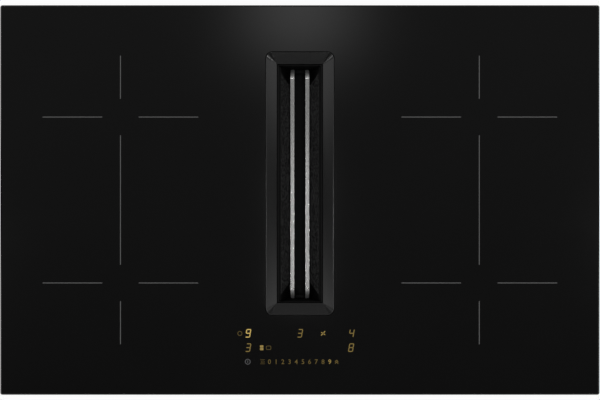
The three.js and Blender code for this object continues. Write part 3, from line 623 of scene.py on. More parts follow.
tray_middle_z = (tray_low.z + tray_high.z) / 2
tab = wall_plate("tab", TAB_WIDTH, tray_high.z - tray_low.z - 12 * MM, TAB_THICKNESS, 3 * MM)
long_bead = wall_plate("bead", 2 * (tray_high.x - BEAD_INSET), BEAD_WIDTH, BEAD_HEIGHT, 3.4 * MM)
short_bead = wall_plate("bead", 2 * (tray_high.y - BEAD_INSET), BEAD_WIDTH, BEAD_HEIGHT, 3.4 * MM)
rivet_place = (0, 0, RIVET_HEIGHT / 2 + TAB_THICKNESS)
bpy.ops.mesh.primitive_cylinder_add(
    vertices=20, radius=RIVET_RADIUS, depth=RIVET_HEIGHT, location=rivet_place
)
rivet = settle("rivet")
edit(rivet)
pick(lambda middle, face: face.normal.z > 0.9)
bpy.ops.mesh.bevel(offset=RIVET_ROUND, segments=4)
leave_edit()
smooth(rivet)
rivet.data.transform(turned(90, "X"))

walls = [
    (moved(0, tray_low.y, tray_middle_z), tray_high.x, long_bead),
    (moved(0, tray_high.y, tray_middle_z) @ turned(180), tray_high.x, long_bead),
    (moved(tray_low.x, 0, tray_middle_z) @ turned(-90), tray_high.y, short_bead),
    (moved(tray_high.x, 0, tray_middle_z) @ turned(90), tray_high.y, short_bead),
]
tabs, rivets, beads = [], [], []
for wall, reach, bead in walls:
    beads.append(placed_copy(bead, wall))
    if reach == tray_high.y:
        continue
    for end in (-1, 1):
        corner = wall @ moved(end * (reach - TAB_INSET - TAB_WIDTH / 2), 0, 0)
        tabs.append(placed_copy(tab, corner))
        for height in (-RIVET_OFFSET, RIVET_OFFSET):
            rivets.append(placed_copy(rivet, corner @ moved(0, 0, height)))
for template in (tab, long_bead, short_bead, rivet):
    bpy.data.objects.remove(template)
add_piece(tabs + beads, "tray_tabs_and_beads", zinc_sheet)
add_piece(rivets, "tray_rivets", bolt_steel)

# ---- Mains terminal box ----
# A black plastic box at the rear left under the casing, with a lid, a terminal block and the
# gland through which the mains cable enters.

white_plastic = moulded_plastic("white_plastic", (0.56, 0.54, 0.49, 1), (0.67, 0.65, 0.6, 1), 0.45)

box_low, box_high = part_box("terminal_box_lid")
gland_low, gland_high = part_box("cable_gland")
gland_middle = (gland_low + gland_high) / 2
NUT_RADIUS = 12.9 * MM
NUT_BORE = 9 * MM
NUT_THICKNESS = 4.5 * MM
WALL_Y = 232.4 * MM
SCREW_INSET = 7 * MM

dress("terminal_box", black_plastic, 0.6 * MM)
dress("terminal_box_lid", black_plastic, 0.6 * MM)
dress("terminal_block", white_plastic, 0.4 * MM)
dress("cable_gland", black_plastic, 0.4 * MM)

bpy.ops.mesh.primitive_cylinder_add(vertices=6, radius=NUT_RADIUS, depth=NUT_THICKNESS)
nut = settle("gland_nut")
bpy.ops.mesh.primitive_cylinder_add(vertices=32, radius=NUT_BORE, depth=2 * NUT_THICKNESS)
cut_away(nut, settle("cutter"))
soften(nut, 0.7 * MM, 3)
nut_y = WALL_Y + NUT_THICKNESS / 2
nut.data.transform(moved(gland_middle.x, nut_y, gland_middle.z) @ turned(90, "X"))
add_piece([nut], "gland_nut", black_plastic)

lid_places = []
for x in (box_low.x + SCREW_INSET, box_high.x - SCREW_INSET):
    for y in (box_low.y + SCREW_INSET, box_high.y - SCREW_INSET):
        lid_places.append(moved(x, y, box_low.z))
screws("terminal_lid_screws", lid_places)
bpy.data.objects.remove(screw_head)

# ---- Power electronics ----
# On each side an inverter board with its heat sink, a cooling fan that draws air through the
# casing's floor, and a deck of aluminium sheet over them.


def mill_aluminium():
    """Rolled or extruded aluminium with drawn lines along Y."""
    material, surface, place = new_finish("aluminium", 1)
    lines = cloud(place, 0.3 * MM, 3, (1, 60, 1))
    haze = cloud(place, 20 * MM, 3)
    haze.mix((0.55, 0.56, 0.58, 1), (0.68, 0.69, 0.71, 1)).feed(surface, "Base Color")
    (0.26 + lines * 0.22).feed(surface, "Roughness")
    relief(surface, lines, 0.01 * MM)
    return material


aluminium = mill_aluminium()

BOARD_TOP = 151.6 * MM
BOARD_X = 250 * MM
BOARD_Y = -70 * MM

for side, sign in (("left", -1), ("right", 1)):
    board = dress(side + "_inverter_board", board_green, 0.3 * MM)
    centre = Vector((sign * BOARD_X, BOARD_Y, BOARD_TOP + 0.3 * MM))
    for material, low_y, high_y in [
        (white_plastic, -96, -76),
        (copper, -64, -32),
        (capacitor, -17, 8),
        (grey_plastic, 8, 32),
        (capacitor, 32, 78),
    ]:
        low = centre.y + low_y * MM
        high = centre.y + high_y * MM
        repaint(board, material, lambda c: c.z > centre.z and low < c.y < high)
    dress(side + "_heat_sink", aluminium, 0.25 * MM)
    dress(side + "_fan_housing", black_plastic, 0.5 * MM)
    dress(side + "_fan_rotor", grey_plastic, 0.3 * MM, side + "_fan")
    dress(side + "_coil_deck", aluminium, 0.3 * MM)

# ---- Induction coils ----
# Four rounded square coils of enamelled copper strands on white carriers, under sheets of
# pressed mica.


def pressed_mica():
    """Flakes of mica pressed into a sheet, in straw and pale brown."""
    material, surface, place = new_finish("mica")
    flakes = {"Vector": place, "Scale": 1 / (5 * MM)}
    colour = place.node("TexVoronoi", inputs=flakes, output="Color")
    level = colour.node("SeparateColor", inputs={"Color": colour})
    tone = level * 0.5 + cloud(place, 12 * MM, 4) * 0.5
    tone.mix((0.4, 0.33, 0.22, 1), (0.6, 0.53, 0.39, 1)).feed(surface, "Base Color")
    (0.4 + level * 0.3).feed(surface, "Roughness")
    relief(surface, level, 0.02 * MM)
    return material


def enamelled_copper():
    """Thin strands laid side by side under clear enamel."""
    material, surface, place = new_finish("copper_litz", 0.8)
    strands = cloud(place, 0.5 * MM, 2, (1, 3, 1))
    strands.mix((0.3, 0.1, 0.04, 1), (0.6, 0.26, 0.12, 1)).feed(surface, "Base Color")
    (0.3 + strands * 0.2).feed(surface, "Roughness")
    relief(surface, strands, 0.1 * MM)
    return material


mica = pressed_mica()
copper_litz = enamelled_copper()

TURNS = 20
STRAND_RADIUS = 1.5 * MM
OUTER_HALF, OUTER_CORNER = 97 * MM, 62 * MM
INNER_HALF, INNER_CORNER = 31 * MM, 24 * MM
BAR_COUNT = 8
BAR_REACH = 58 * MM
FERRITE_HALF = Vector((22.5 * MM, 5 * MM, 1.8 * MM))
STATIONS = ("front_left", "rear_left", "front_right", "rear_right")
winding_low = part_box("rear_right_coil_winding")[0]
carrier_low, carrier_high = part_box("rear_right_coil_carrier")
ferrite = moulded_plastic("ferrite", grey(0.02), grey(0.045), 0.6)

turns = []
for i in range(TURNS):
    share = (i + 0.5) / TURNS
    half_side = INNER_HALF + share * (OUTER_HALF - INNER_HALF)
    corner = INNER_CORNER + share * (OUTER_CORNER - INNER_CORNER)
    bpy.ops.mesh.primitive_plane_add(size=2 * half_side)
    turn = settle("turn")
    edit(turn, "VERT")
    take_all()
    bpy.ops.mesh.bevel(offset=corner, segments=8, affect="VERTICES")
    take_all()
    bpy.ops.mesh.delete(type="ONLY_FACE")
    leave_edit()
    bpy.ops.object.convert(target="CURVE")
    turn.data.bevel_depth = STRAND_RADIUS
    turn.data.bevel_resolution = 2
    bpy.ops.object.convert(target="MESH")
    smooth(bpy.context.object, 50)
    lower = bpy.context.object
    lower.data.transform(moved(0, 0, winding_low.z + STRAND_RADIUS))
    turns += [lower, placed_copy(lower, moved(0, 0, 2 * STRAND_RADIUS))]
winding = joined(turns, "winding")
paint(winding, copper_litz)

bars = []
for i in range(BAR_COUNT):
    bar = rounded_plate("ferrite", -FERRITE_HALF, FERRITE_HALF, 1 * MM, 3)
    soften(bar, 0.4 * MM)
    middle_z = (carrier_low.z + carrier_high.z) / 2 - 0.3 * MM
    angle = 360 * (i + 0.5) / BAR_COUNT
    bar.data.transform(turned(angle) @ moved(BAR_REACH, 0, middle_z))
    bars.append(bar)
ferrite_bars = joined(bars, "ferrite_bars")
paint(ferrite_bars, ferrite)

for station in STATIONS:
    low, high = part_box(station + "_coil_winding")
    centre = moved((low.x + high.x) / 2, (low.y + high.y) / 2, 0)
    dress(station + "_coil_carrier", white_plastic, 0.4 * MM)
    coil = placed_copy(winding, centre)
    coil.name = station + "_litz_turns"
    declare(coil, "hob", station + "_coil_winding")
    rods = placed_copy(ferrite_bars, centre)
    rods.name = station + "_ferrites"
    declare(rods, "hob")
bpy.data.objects.remove(winding)
bpy.data.objects.remove(ferrite_bars)

for side in ("left", "right"):
    dress(side + "_mica_sheet", mica, 0.2 * MM)

# ---- Touch board and light guide ----
# The board with the touch keys and the display's lamps, under a white guide whose windows keep
# each symbol's light apart.

touch = dress("touch_board", board_green, 0.3 * MM)
repaint(touch, white_plastic, lambda c: c.z < 190.3 * MM and abs(c.x) < 80 * MM)
dress("display_light_guide", white_plastic, 0.3 * MM)

# ---- Intake shaft and overflow tray ----
# A black plastic shaft leads the air from the filter down into the lower casing. Spilled liquid
# runs through it into a grey tray.

dress("intake_shaft", black_plastic, 0.4 * MM)
dress("overflow_tray", grey_plastic, 0.5 * MM)
dress("shaft_seal", rubber, 0.4 * MM)
dress("worktop_sealing_tape", rubber, 0.4 * MM)

# ---- Glass top ----
# One sheet of 4 mm black glass ceramic, 800 by 520 mm. Its rim is ground to a steep dark facet
# and a narrow polished one inside it, and it has a cut-out for the intake.

GLASS_CORNER = 3 * MM
FACET_WIDTH = 1.2 * MM
FACET_DROP = 1.3 * MM
ARRIS_WIDTH = 1.0 * MM
ARRIS_DROP = 0.25 * MM
MOUTH_GAP = 1.25 * MM
TRIM_CORNER = 8.5 * MM


def black_glass():
    """Polished black glass ceramic, with a trace of haze where it was wiped."""
    material, surface, place = new_finish("black_glass")
    haze = cloud(place, 90 * MM, 5)
    haze.mix((0.0026, 0.0026, 0.0026, 1), (0.0034, 0.0034, 0.0034, 1)).feed(surface, "Base Color")
    (0.045 + haze * 0.03).feed(surface, "Roughness")
    return material


def ground_glass():
    """The same glass where it was ground: dull and very dark."""
    material, surface, place = new_finish("ground_glass")
    wheel_marks = cloud(place, 0.2 * MM, 2, (6, 6, 1))
    wheel_marks.mix(grey(0.0008), grey(0.002)).feed(surface, "Base Color")
    (0.4 + wheel_marks * 0.2).feed(surface, "Roughness")
    surface.inputs["Specular IOR Level"].default_value = 0.02
    relief(surface, wheel_marks, 0.01 * MM)
    return material


body_top = Vector(glass_high) - Vector((0, 0, FACET_DROP + ARRIS_DROP))
glass = rounded_plate("glass_sheet", glass_low, body_top, GLASS_CORNER, 12)
edit(glass)
pick(lambda middle, face: face.normal.z > 0.9)
bpy.ops.mesh.inset(thickness=FACET_WIDTH, depth=FACET_DROP)
bpy.ops.mesh.inset(thickness=ARRIS_WIDTH, depth=ARRIS_DROP)
leave_edit()

trim_low, trim_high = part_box("intake_trim_frame")
cutter = rounded_plate(
    "cutter",
    (trim_low.x - MOUTH_GAP, trim_low.y - MOUTH_GAP, glass_low.z - 5 * MM),
    (trim_high.x + MOUTH_GAP, trim_high.y + MOUTH_GAP, glass_high.z + 5 * MM),
    TRIM_CORNER + MOUTH_GAP,
    12,
)
cut_away(glass, cutter)
glass.data.materials.append(black_glass())
glass.data.materials.append(ground_glass())
for face in glass.data.polygons:
    if 0.3 < face.normal.z < 0.9:
        face.material_index = 1
smooth(glass, 9)
declare(glass, "hob", "glass_top")

# ---- Zone marks ----
# Four crosshairs in grey enamel, screen-printed and fired on. The inner arms of the front and
# rear zones meet in one line.

ZONE_X = 239.2 * MM
ZONE_Y = 110.6 * MM
MARK_WIDTH = 1.05 * MM
MARK_HEIGHT = 0.03 * MM
ARM_START = 24.8 * MM
ACROSS_END = 103.3 * MM
OUTWARD_END = 81.3 * MM


def printed_enamel():
    """Grey enamel with the mesh of the screen in it."""
    material, surface, place = new_finish("zone_print")
    mesh_marks = cloud(place, 0.4 * MM, 2)
    mesh_marks.mix(grey(0.06), grey(0.1)).feed(surface, "Base Color")
    (0.45 + mesh_marks * 0.2).feed(surface, "Roughness")
    return material


def printed_line(left, front, right, rear):
    """A line of ink on the glass, with slightly rounded ends."""
    low = (left - MARK_WIDTH / 2, front - MARK_WIDTH / 2, glass_high.z)
    high = (right + MARK_WIDTH / 2, rear + MARK_WIDTH / 2, glass_high.z + MARK_HEIGHT)
    return rounded_plate("printed_line", low, high, MARK_WIDTH / 3, 3)


lines = []
for side_x in (-1, 1):
    x = side_x * ZONE_X
    for side_y in (-1, 1):
        y = side_y * ZONE_Y
        for left, right in ((-ACROSS_END, -ARM_START), (ARM_START, ACROSS_END)):
            lines.append(printed_line(x + left, y, x + right, y))
        outer = sorted((y + side_y * ARM_START, y + side_y * OUTWARD_END))
        lines.append(printed_line(x, outer[0], x, outer[1]))
    lines.append(printed_line(x, ARM_START - ZONE_Y, x, ZONE_Y - ARM_START))
add_piece(lines, "zone_marks", printed_enamel())

# ---- Display ----
# Amber symbols that shine through the glass in front: power levels as slanted digits, small
# icons, and a row of numbers to touch. The switch-on symbol is printed in grey.

LIGHT_HEIGHT = 0.02 * MM
DIGIT_HEIGHT = 11.4 * MM
DIGIT_WIDTH = 5.4 * MM
DIGIT_STROKE = 1.25 * MM
DIGIT_SLANT = math.radians(10)
DIGIT_GAP = 0.75 * MM


def symbol_light(name, colour, strength):
    """Light through a printed stencil, in patches across its diffuser."""
    material, surface, place = new_finish(name)
    surface.inputs["Base Color"].default_value = grey(0.003)
    surface.inputs["Roughness"].default_value = 0.06
    surface.inputs["Emission Strength"].default_value = 1
    patch = cloud(place, 3 * MM, 2)
    dim = tuple(channel * strength * 0.8 for channel in colour) + (1,)
    bright = tuple(min(1, channel * strength * 1.2) for channel in colour) + (1,)
    patch.mix(dim, bright).feed(surface, "Emission Color")
    return material


def stroke(x, y, x_end, y_end, width):
    """A flat bar with round ends between two points on the glass."""
    length = math.hypot(x_end - x, y_end - y)
    half = Vector((length / 2 + width / 2, width / 2, LIGHT_HEIGHT / 2))
    bar = rounded_plate("stroke", -half, half, width * 0.49, 4)
    bar.rotation_euler.z = math.atan2(y_end - y, x_end - x)
    bar.location = ((x + x_end) / 2, (y + y_end) / 2, glass_high.z + LIGHT_HEIGHT / 2)
    select_only(bar)
    return settle()


def ring(x, y, outer, width, sides=28):
    """A flat ring on the glass."""
    place = (x, y, glass_high.z)
    bpy.ops.mesh.primitive_circle_add(
        vertices=sides, radius=outer, fill_type="NGON", location=place
    )
    band = settle("ring")
    edit(band)
    take_all()
    bpy.ops.mesh.inset(thickness=width)
    bpy.ops.mesh.delete(type="FACE")
    draw_up(LIGHT_HEIGHT)
    return band


SEGMENTS = {"3": "abcdg", "4": "bcfg", "8": "abcdefg", "9": "abcdfg"}


def slanted_digit(digit, x, y):
    """Bars in the usual seven places, leaning to the right."""
    half_width = DIGIT_WIDTH / 2
    half_height = DIGIT_HEIGHT / 2 - DIGIT_STROKE / 2
    places = {
        "a": (-1, 2, 1, 2),
        "b": (1, 2, 1, 1),
        "c": (1, 1, 1, 0),
        "d": (-1, 0, 1, 0),
        "e": (-1, 1, -1, 0),
        "f": (-1, 2, -1, 1),
        "g": (-1, 1, 1, 1),
    }
    bars = []
    for segment in SEGMENTS[digit]:
        column, row, column_end, row_end = places[segment]
        start = Vector((column * half_width, (row - 1) * half_height))
        end = Vector((column_end * half_width, (row_end - 1) * half_height))
        along = (end - start).normalized() * DIGIT_GAP
        start, end = start + along, end - along
        lean = math.tan(DIGIT_SLANT)
        bars.append(
            stroke(
                x + start.x + start.y * lean,
                y + start.y,
                x + end.x + end.y * lean,
                y + end.y,
                DIGIT_STROKE,
            )
        )
    return bars


def polyline(points, width):
    """Strokes from point to point, a hair apart so that none overlaps the next."""
    bars = []
    for (x, y), (x_end, y_end) in zip(points, points[1:]):
        start, end = Vector((x, y)), Vector((x_end, y_end))
        along = (end - start).normalized() * width * 0.55
        start, end = start + along, end - along
        bars.append(stroke(start.x, start.y, end.x, end.y, width))
    return bars


def number(text, x, y, height):
    """An upright numeral, drawn as text and made a thin mesh."""
    bpy.ops.object.text_add(location=(0, 0, 0))
    letter = bpy.context.object
    letter.data.body = text
    letter.data.extrude = 0.5
    letter.data.offset = 0.006
    letter.data.resolution_u = 3
    bpy.ops.object.convert(target="MESH")
    corners = [corner.co for corner in letter.data.vertices]
    left, right = min(c.x for c in corners), max(c.x for c in corners)
    low, top = min(c.y for c in corners), max(c.y for c in corners)
    scale = height / (top - low)
    letter.scale = (scale, scale, LIGHT_HEIGHT)
    middle = Vector(((left + right) / 2 * scale, (low + top) / 2 * scale))
    letter.location = (x - middle.x, y - middle.y, glass_high.z + LIGHT_HEIGHT / 2)
    return settle("number")


AMBER = (0.52, 0.37, 0.11)
lit = symbol_light("display_lit", AMBER, 0.55)
bright = symbol_light("display_bright", AMBER, 1.1)
level = symbol_light("display_level", AMBER, 0.37)
faint = symbol_light("display_faint", AMBER, 0.17)
row = symbol_light("display_row", AMBER, 0.22)
white = symbol_light("display_grey", (0.25, 0.25, 0.26), 0.38)

display_pieces = {
    "display_level_rear_left": (bright, slanted_digit("9", -68.9 * MM, -177.7 * MM)),
    "display_level_front_left": (level, slanted_digit("3", -68.9 * MM, -196.8 * MM)),
    "display_fan_level": (level, slanted_digit("3", 0.2 * MM, -177.7 * MM)),
    "display_level_rear_right": (level, slanted_digit("4", 69.0 * MM, -177.7 * MM)),
    "display_level_front_right": (level, slanted_digit("8", 68.3 * MM, -196.8 * MM)),
    "display_timer_ring": (faint, [ring(-80 * MM, -177.9 * MM, 3.2 * MM, 0.9 * MM)]),
}

ROW_Y = -215.6 * MM
ROW_X = -40.6 * MM
ROW_PITCH = 8.93 * MM
NUMBER_HEIGHT = 6.2 * MM
numbers = [number(str(i), ROW_X + i * ROW_PITCH, ROW_Y, NUMBER_HEIGHT) for i in range(9)]
display_pieces["display_number_row"] = (row, numbers)
nine = number("9", ROW_X + 9 * ROW_PITCH, ROW_Y, NUMBER_HEIGHT)
display_pieces["display_number_nine"] = (lit, [nine])

BOOST_X = 49.0 * MM
chevrons = []
for rise in (-1.4 * MM, 1.0 * MM):
    chevrons += polyline(
        [
            (BOOST_X - 2.2 * MM, ROW_Y + rise - 1.2 * MM),
            (BOOST_X, ROW_Y + rise + 1.2 * MM),
            (BOOST_X + 2.2 * MM, ROW_Y + rise - 1.2 * MM),
        ],
        0.7 * MM,
    )
display_pieces["display_boost"] = (level, chevrons)

POWER_X = -69.5 * MM
TIMED_X = -50.9 * MM
TIMED_Y = -197.0 * MM
timed = []
for shift in (-1, 1):
    y = TIMED_Y + shift * 1.75 * MM
    low = (TIMED_X - 2.3 * MM, y - 1.55 * MM, glass_high.z)
    high = (TIMED_X + 2.3 * MM, y + 1.55 * MM, glass_high.z + LIGHT_HEIGHT)
    timed.append(rounded_plate("timed", low, high, 0.7 * MM, 3))
display_pieces["display_timed_zones"] = (lit, timed)

BRIDGE_X = -41.7 * MM
middle = Vector((BRIDGE_X, TIMED_Y, glass_high.z + LIGHT_HEIGHT / 2))
half = Vector((3.4 * MM, 2.7 * MM, LIGHT_HEIGHT / 2))
hollow = half - Vector((0.75 * MM, 0.75 * MM, -MM))
pot = rounded_plate("pot", middle - half, middle + half, 1.6 * MM, 5)
cut_away(pot, rounded_plate("cutter", middle - hollow, middle + hollow, 1 * MM, 4))
display_pieces["display_zone_bridge"] = (faint, [pot])

FAN_X = 31.0 * MM
FAN_Y = -177.9 * MM
blades = []
for angle, reach in ((50, 3.6 * MM), (150, 2.6 * MM), (225, 3.3 * MM), (325, 2.8 * MM)):
    turn = math.radians(angle)
    tip = Vector((math.cos(turn), math.sin(turn))) * reach
    root = tip * 0.4
    blades.append(stroke(FAN_X + root.x, FAN_Y + root.y, FAN_X + tip.x, FAN_Y + tip.y, 1.3 * MM))
display_pieces["display_fan_symbol"] = (lit, blades)

WARM_X = -49.7 * MM
warm = [
    stroke(WARM_X - 3 * MM, ROW_Y + 2.8 * MM, WARM_X + 3 * MM, ROW_Y + 2.8 * MM, 0.5 * MM),
    stroke(WARM_X - 3 * MM, ROW_Y - 2.8 * MM, WARM_X + 3 * MM, ROW_Y - 2.8 * MM, 0.5 * MM),
]
for offset in (-1.8, 0, 1.8):
    x = WARM_X + offset * MM
    warm += polyline(
        [
            (x - 0.5 * MM, ROW_Y - 1.7 * MM),
            (x + 0.5 * MM, ROW_Y - 0.1 * MM),
            (x - 0.4 * MM, ROW_Y + 1.6 * MM),
        ],
        0.45 * MM,
    )
display_pieces["display_keep_warm"] = (faint, warm)

power = [ring(POWER_X, ROW_Y, 3.7 * MM, 0.8 * MM)]
power.append(stroke(POWER_X, ROW_Y - 1.2 * MM, POWER_X, ROW_Y + 1.4 * MM, 0.8 * MM))
display_pieces["display_power_symbol"] = (white, power)

for name, (material, parts) in display_pieces.items():
    add_piece(parts, name, material)

# ---- Trim frame of the intake ----
# A die-cast frame in matte black with a fine grain. It stands a little proud of the glass, and
# its slopes lead down to the square edge of the mouth.

LIP = 0.45 * MM
MOUTH_WIDTH = 62 * MM
MOUTH_LENGTH = 320 * MM
MOUTH_DROP = 4.8 * MM
SKIRT_WALL = 1.6 * MM


def grained_black(name, dark, light, roughness):
    """Powder coat over a fine grain, which sparkles a little."""
    material, surface, place = new_finish(name)
    grain = cloud(place, 0.55 * MM, 3)
    cloudy = cloud(place, 25 * MM, 3)
    (grain * 0.7 + cloudy * 0.3).mix(dark, light).feed(surface, "Base Color")
    (roughness + (grain - 0.5) * 0.1).feed(surface, "Roughness")
    relief(surface, grain, 0.005 * MM)
    return material


black_trim = grained_black("black_trim", grey(0.0015), grey(0.006), 0.16)
trim_middle = (trim_low + trim_high) / 2
mouth_z = glass_high.z - MOUTH_DROP
shoulder_z = trim_low.z + 9.3 * MM

trim = rounded_plate(
    "intake_trim_casting",
    (trim_low.x, trim_low.y, shoulder_z),
    (trim_high.x, trim_high.y, trim_high.z - LIP),
    TRIM_CORNER,
    9,
)
edit(trim)
pick(lambda middle, face: face.normal.z > 0.9)
LIP_STEPS = 3
for step in range(LIP_STEPS):
    start, end = (math.radians(90 * share / LIP_STEPS) for share in (step, step + 1))
    width = LIP * (math.cos(start) - math.cos(end))
    bpy.ops.mesh.inset(thickness=width, depth=LIP * (math.sin(end) - math.sin(start)))
bpy.ops.mesh.extrude_region_move()
bpy.ops.mesh.select_mode(type="VERT")
for side_x in (-1, 1):
    for side_y in (-1, 1):
        bpy.ops.mesh.select_all(action="DESELECT")
        corner_x = trim_middle.x + side_x * (trim_high.x - trim_middle.x)
        corner_y = trim_middle.y + side_y * (trim_high.y - trim_middle.y)
        shape = bmesh.from_edit_mesh(trim.data)
        top_face = max(shape.faces, key=lambda face: face.calc_area() * face.normal.z)
        corner = Vector((corner_x, corner_y))
        for vert in top_face.verts:
            if (vert.co.xy - corner).length < 2 * TRIM_CORNER:
                vert.select_set(True)
        shape.select_flush_mode()
        bmesh.update_edit_mesh(trim.data)
        bpy.ops.mesh.merge(type="CENTER")
        shape = bmesh.from_edit_mesh(trim.data)
        merged = next(vert for vert in shape.verts if vert.select)
        merged.co = (
            trim_middle.x + side_x * (MOUTH_WIDTH / 2 - 0.2 * MM),
            trim_middle.y + side_y * (MOUTH_LENGTH / 2 - 0.2 * MM),
            mouth_z,
        )
        bmesh.update_edit_mesh(trim.data)
leave_edit()

half_width = MOUTH_WIDTH / 2 + SKIRT_WALL
half_length = MOUTH_LENGTH / 2 + SKIRT_WALL
skirt = rounded_plate(
    "skirt",
    (trim_middle.x - half_width, trim_middle.y - half_length, trim_low.z),
    (trim_middle.x + half_width, trim_middle.y + half_length, mouth_z - 0.5 * MM),
    1.5 * MM,
    3,
)
modify(trim, "BOOLEAN", object=skirt, operation="UNION", solver="EXACT")
bpy.data.objects.remove(skirt)
mouth = block(
    "mouth",
    (trim_middle.x - MOUTH_WIDTH / 2, trim_middle.y - MOUTH_LENGTH / 2, trim_low.z - 5 * MM),
    (trim_middle.x + MOUTH_WIDTH / 2, trim_middle.y + MOUTH_LENGTH / 2, trim_high.z + 5 * MM),
)
cut_away(trim, mouth)
smooth(trim, 25)
paint(trim, black_trim)
declare(trim, "hob", "intake_trim_frame")

# ---- Grease filter ----
# A black frame with two sloping packs of woven mesh and a trough between their feet, with painted
# shade deep in the mouth and painted shadows over the packs' ends. It lifts out of the shaft with
# the grille on it.

# Two copies of one moulded plastic, both darker than plain black plastic. The nearly black one is
# painted shade for the filter's parts deep in the mouth, the pack cores, the wedges over the
# packs' ends and the grille's bridges. The lighter one is painted light for the parts near the
# mouth's top and the packs' hems.
shaded_filter_plastic = moulded_plastic("shaded_filter_plastic", grey(0.0006), grey(0.002), 0.6)
shaded_filter_plastic.node_tree.nodes["Principled BSDF"].inputs["Specular IOR Level"].default_value = 0.12

lit_filter_plastic = moulded_plastic("lit_filter_plastic", grey(0.005), grey(0.011), 0.6)
lit_filter_plastic.node_tree.nodes["Principled BSDF"].inputs["Specular IOR Level"].default_value = 0.12

# Parts more than 26 mm from the middle lie near the mouth's top and get the lighter copy as
# painted light. The rest keeps the painted shade.
for node in ("filter_rim", "filter_frame", "drip_trough"):
    piece = dress(node, shaded_filter_plastic, 0.3 * MM, "grease_filter")
    repaint(piece, lit_filter_plastic, lambda c: abs(c.x) > 26 * MM)

MESH_CELL = (3.3 * MM, 3.0 * MM)
MESH_WIRE = 0.85 * MM
HEM_WIDTH = 1.6 * MM
# These three sizes shape a thin dark wedge over each end of a pack. It is a painted shadow,
# slanted like the shadows that the ends of the mouth cast on the mesh.
PAINTED_SHADOW_LONG = 21.5 * MM
PAINTED_SHADOW_SHORT = 7.5 * MM
PAINTED_SHADOW_HALF = 0.3 * MM


def mesh_wire():
    """Black-coated wire, with patches of painted sheen in its colour, and gloss that varies with
    them.
    """
    material, surface, place = new_finish("filter_mesh", 0.2)
    painted_sheen_patches = cloud(place, 3.5 * MM, 1)
    limits = {"Value": painted_sheen_patches, "From Min": 0.42, "From Max": 0.58}
    painted_sheen_patches.node("MapRange", inputs=limits).mix(grey(0.008), grey(0.06)).feed(surface, "Base Color")
    (0.4 + painted_sheen_patches * 0.25).feed(surface, "Roughness")
    surface.inputs["Specular IOR Level"].default_value = 0.15
    return material


def mesh_layer(length_across, length_along, height, wire):
    """Expanded metal: diamonds in staggered rows, each strand a thin bar."""
    columns = round(length_across / MESH_CELL[0])
    rows = round(length_along / MESH_CELL[1])
    bpy.ops.mesh.primitive_grid_add(
        x_subdivisions=columns, y_subdivisions=rows, size=1, location=(0, 0, height)
    )
    bpy.context.object.scale = (length_across, length_along, 1)
    layer = settle("mesh_layer")
    edit(layer, "EDGE")
    take_all()
    bpy.ops.mesh.poke()
    bpy.ops.mesh.select_all(action="DESELECT")
    inside = (length_across / 2 - 0.01 * MM, length_along / 2 - 0.01 * MM)
    diagonal = MESH_CELL[0] * 0.05

    def is_grid_edge(middle, edge):
        run = edge.verts[0].co - edge.verts[1].co
        straight = abs(run.x) < diagonal or abs(run.y) < diagonal
        return straight and abs(middle.x) < inside[0] and abs(middle.y) < inside[1]

    pick(is_grid_edge)
    bpy.ops.mesh.dissolve_edges(use_verts=False)
    leave_edit()
    modify(layer, "WIREFRAME", thickness=wire, use_even_offset=False)
    return layer


pack_low, pack_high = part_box("right_filter_pack")
PACK_TOP_X = 26 * MM
PACK_FOOT_X = 13.2 * MM
PACK_THICKNESS = 4.2 * MM
slope = Vector((PACK_TOP_X - PACK_FOOT_X, 0, pack_high.z - pack_low.z))
slope_length = slope.length
across = slope.normalized()
facing = Vector((-across.z, 0, across.x))
pack_depth = PACK_THICKNESS * across.z
pack_width = slope_length - pack_depth * across.x / across.z
pack_length = pack_high.y - pack_low.y
half = Vector((pack_width / 2, pack_length / 2, pack_depth / 2))
hem = rounded_plate("hem", -half, half, 0.8 * MM, 3)
inner_half = half - Vector((HEM_WIDTH, HEM_WIDTH, -MM))
cut_away(hem, rounded_plate("cutter", -inner_half, inner_half, 0.5 * MM, 2))
soften(hem, 0.3 * MM)
# The core is a nearly black plate between the layers of mesh. It is painted shade, where the dark
# depth of the pack shows through.
painted_shade_core_half = half - Vector((HEM_WIDTH / 2, HEM_WIDTH / 2, half.z - 0.5 * MM))
painted_shade_core = rounded_plate("painted_shade_core", -painted_shade_core_half, painted_shade_core_half, 0.5 * MM, 2)
inner_width = pack_width - 1.5 * HEM_WIDTH
inner_length = pack_length - 1.5 * HEM_WIDTH
wire = mesh_wire()
front_layer = mesh_layer(inner_width, inner_length, pack_depth / 2 - 0.6 * MM, MESH_WIRE)
back_layer = mesh_layer(inner_width, inner_length, -pack_depth / 2 + 0.6 * MM, MESH_WIRE)
# A painted shadow lies on each end of the pack: a thin nearly black wedge, long at the pack's foot
# and short at its top.
painted_shadows = []
for end in (-1, 1):
    limits_y = sorted((end * half.y, end * (half.y - PAINTED_SHADOW_LONG)))
    low = (-half.x, limits_y[0], half.z - PAINTED_SHADOW_HALF)
    painted_shadow = rounded_plate("painted_shadow", low, (half.x, limits_y[1], half.z + PAINTED_SHADOW_HALF), 0.5 * MM, 2)
    edit(painted_shadow)
    take_all()
    bpy.ops.mesh.bisect(
        plane_co=(half.x, end * (half.y - PAINTED_SHADOW_SHORT), 0),
        plane_no=(PAINTED_SHADOW_SHORT - PAINTED_SHADOW_LONG, end * 2 * half.x, 0),
        use_fill=True,
        clear_inner=True,
    )
    leave_edit()
    soften(painted_shadow, 0.15 * MM)
    paint(painted_shadow, shaded_filter_plastic)
    painted_shadows.append(painted_shadow)
paint(hem, lit_filter_plastic)
paint(painted_shade_core, shaded_filter_plastic)
for part in (front_layer, back_layer):
    paint(part, wire)
right_pack = joined([hem, painted_shade_core, front_layer, back_layer, *painted_shadows], "right_filter_mesh")
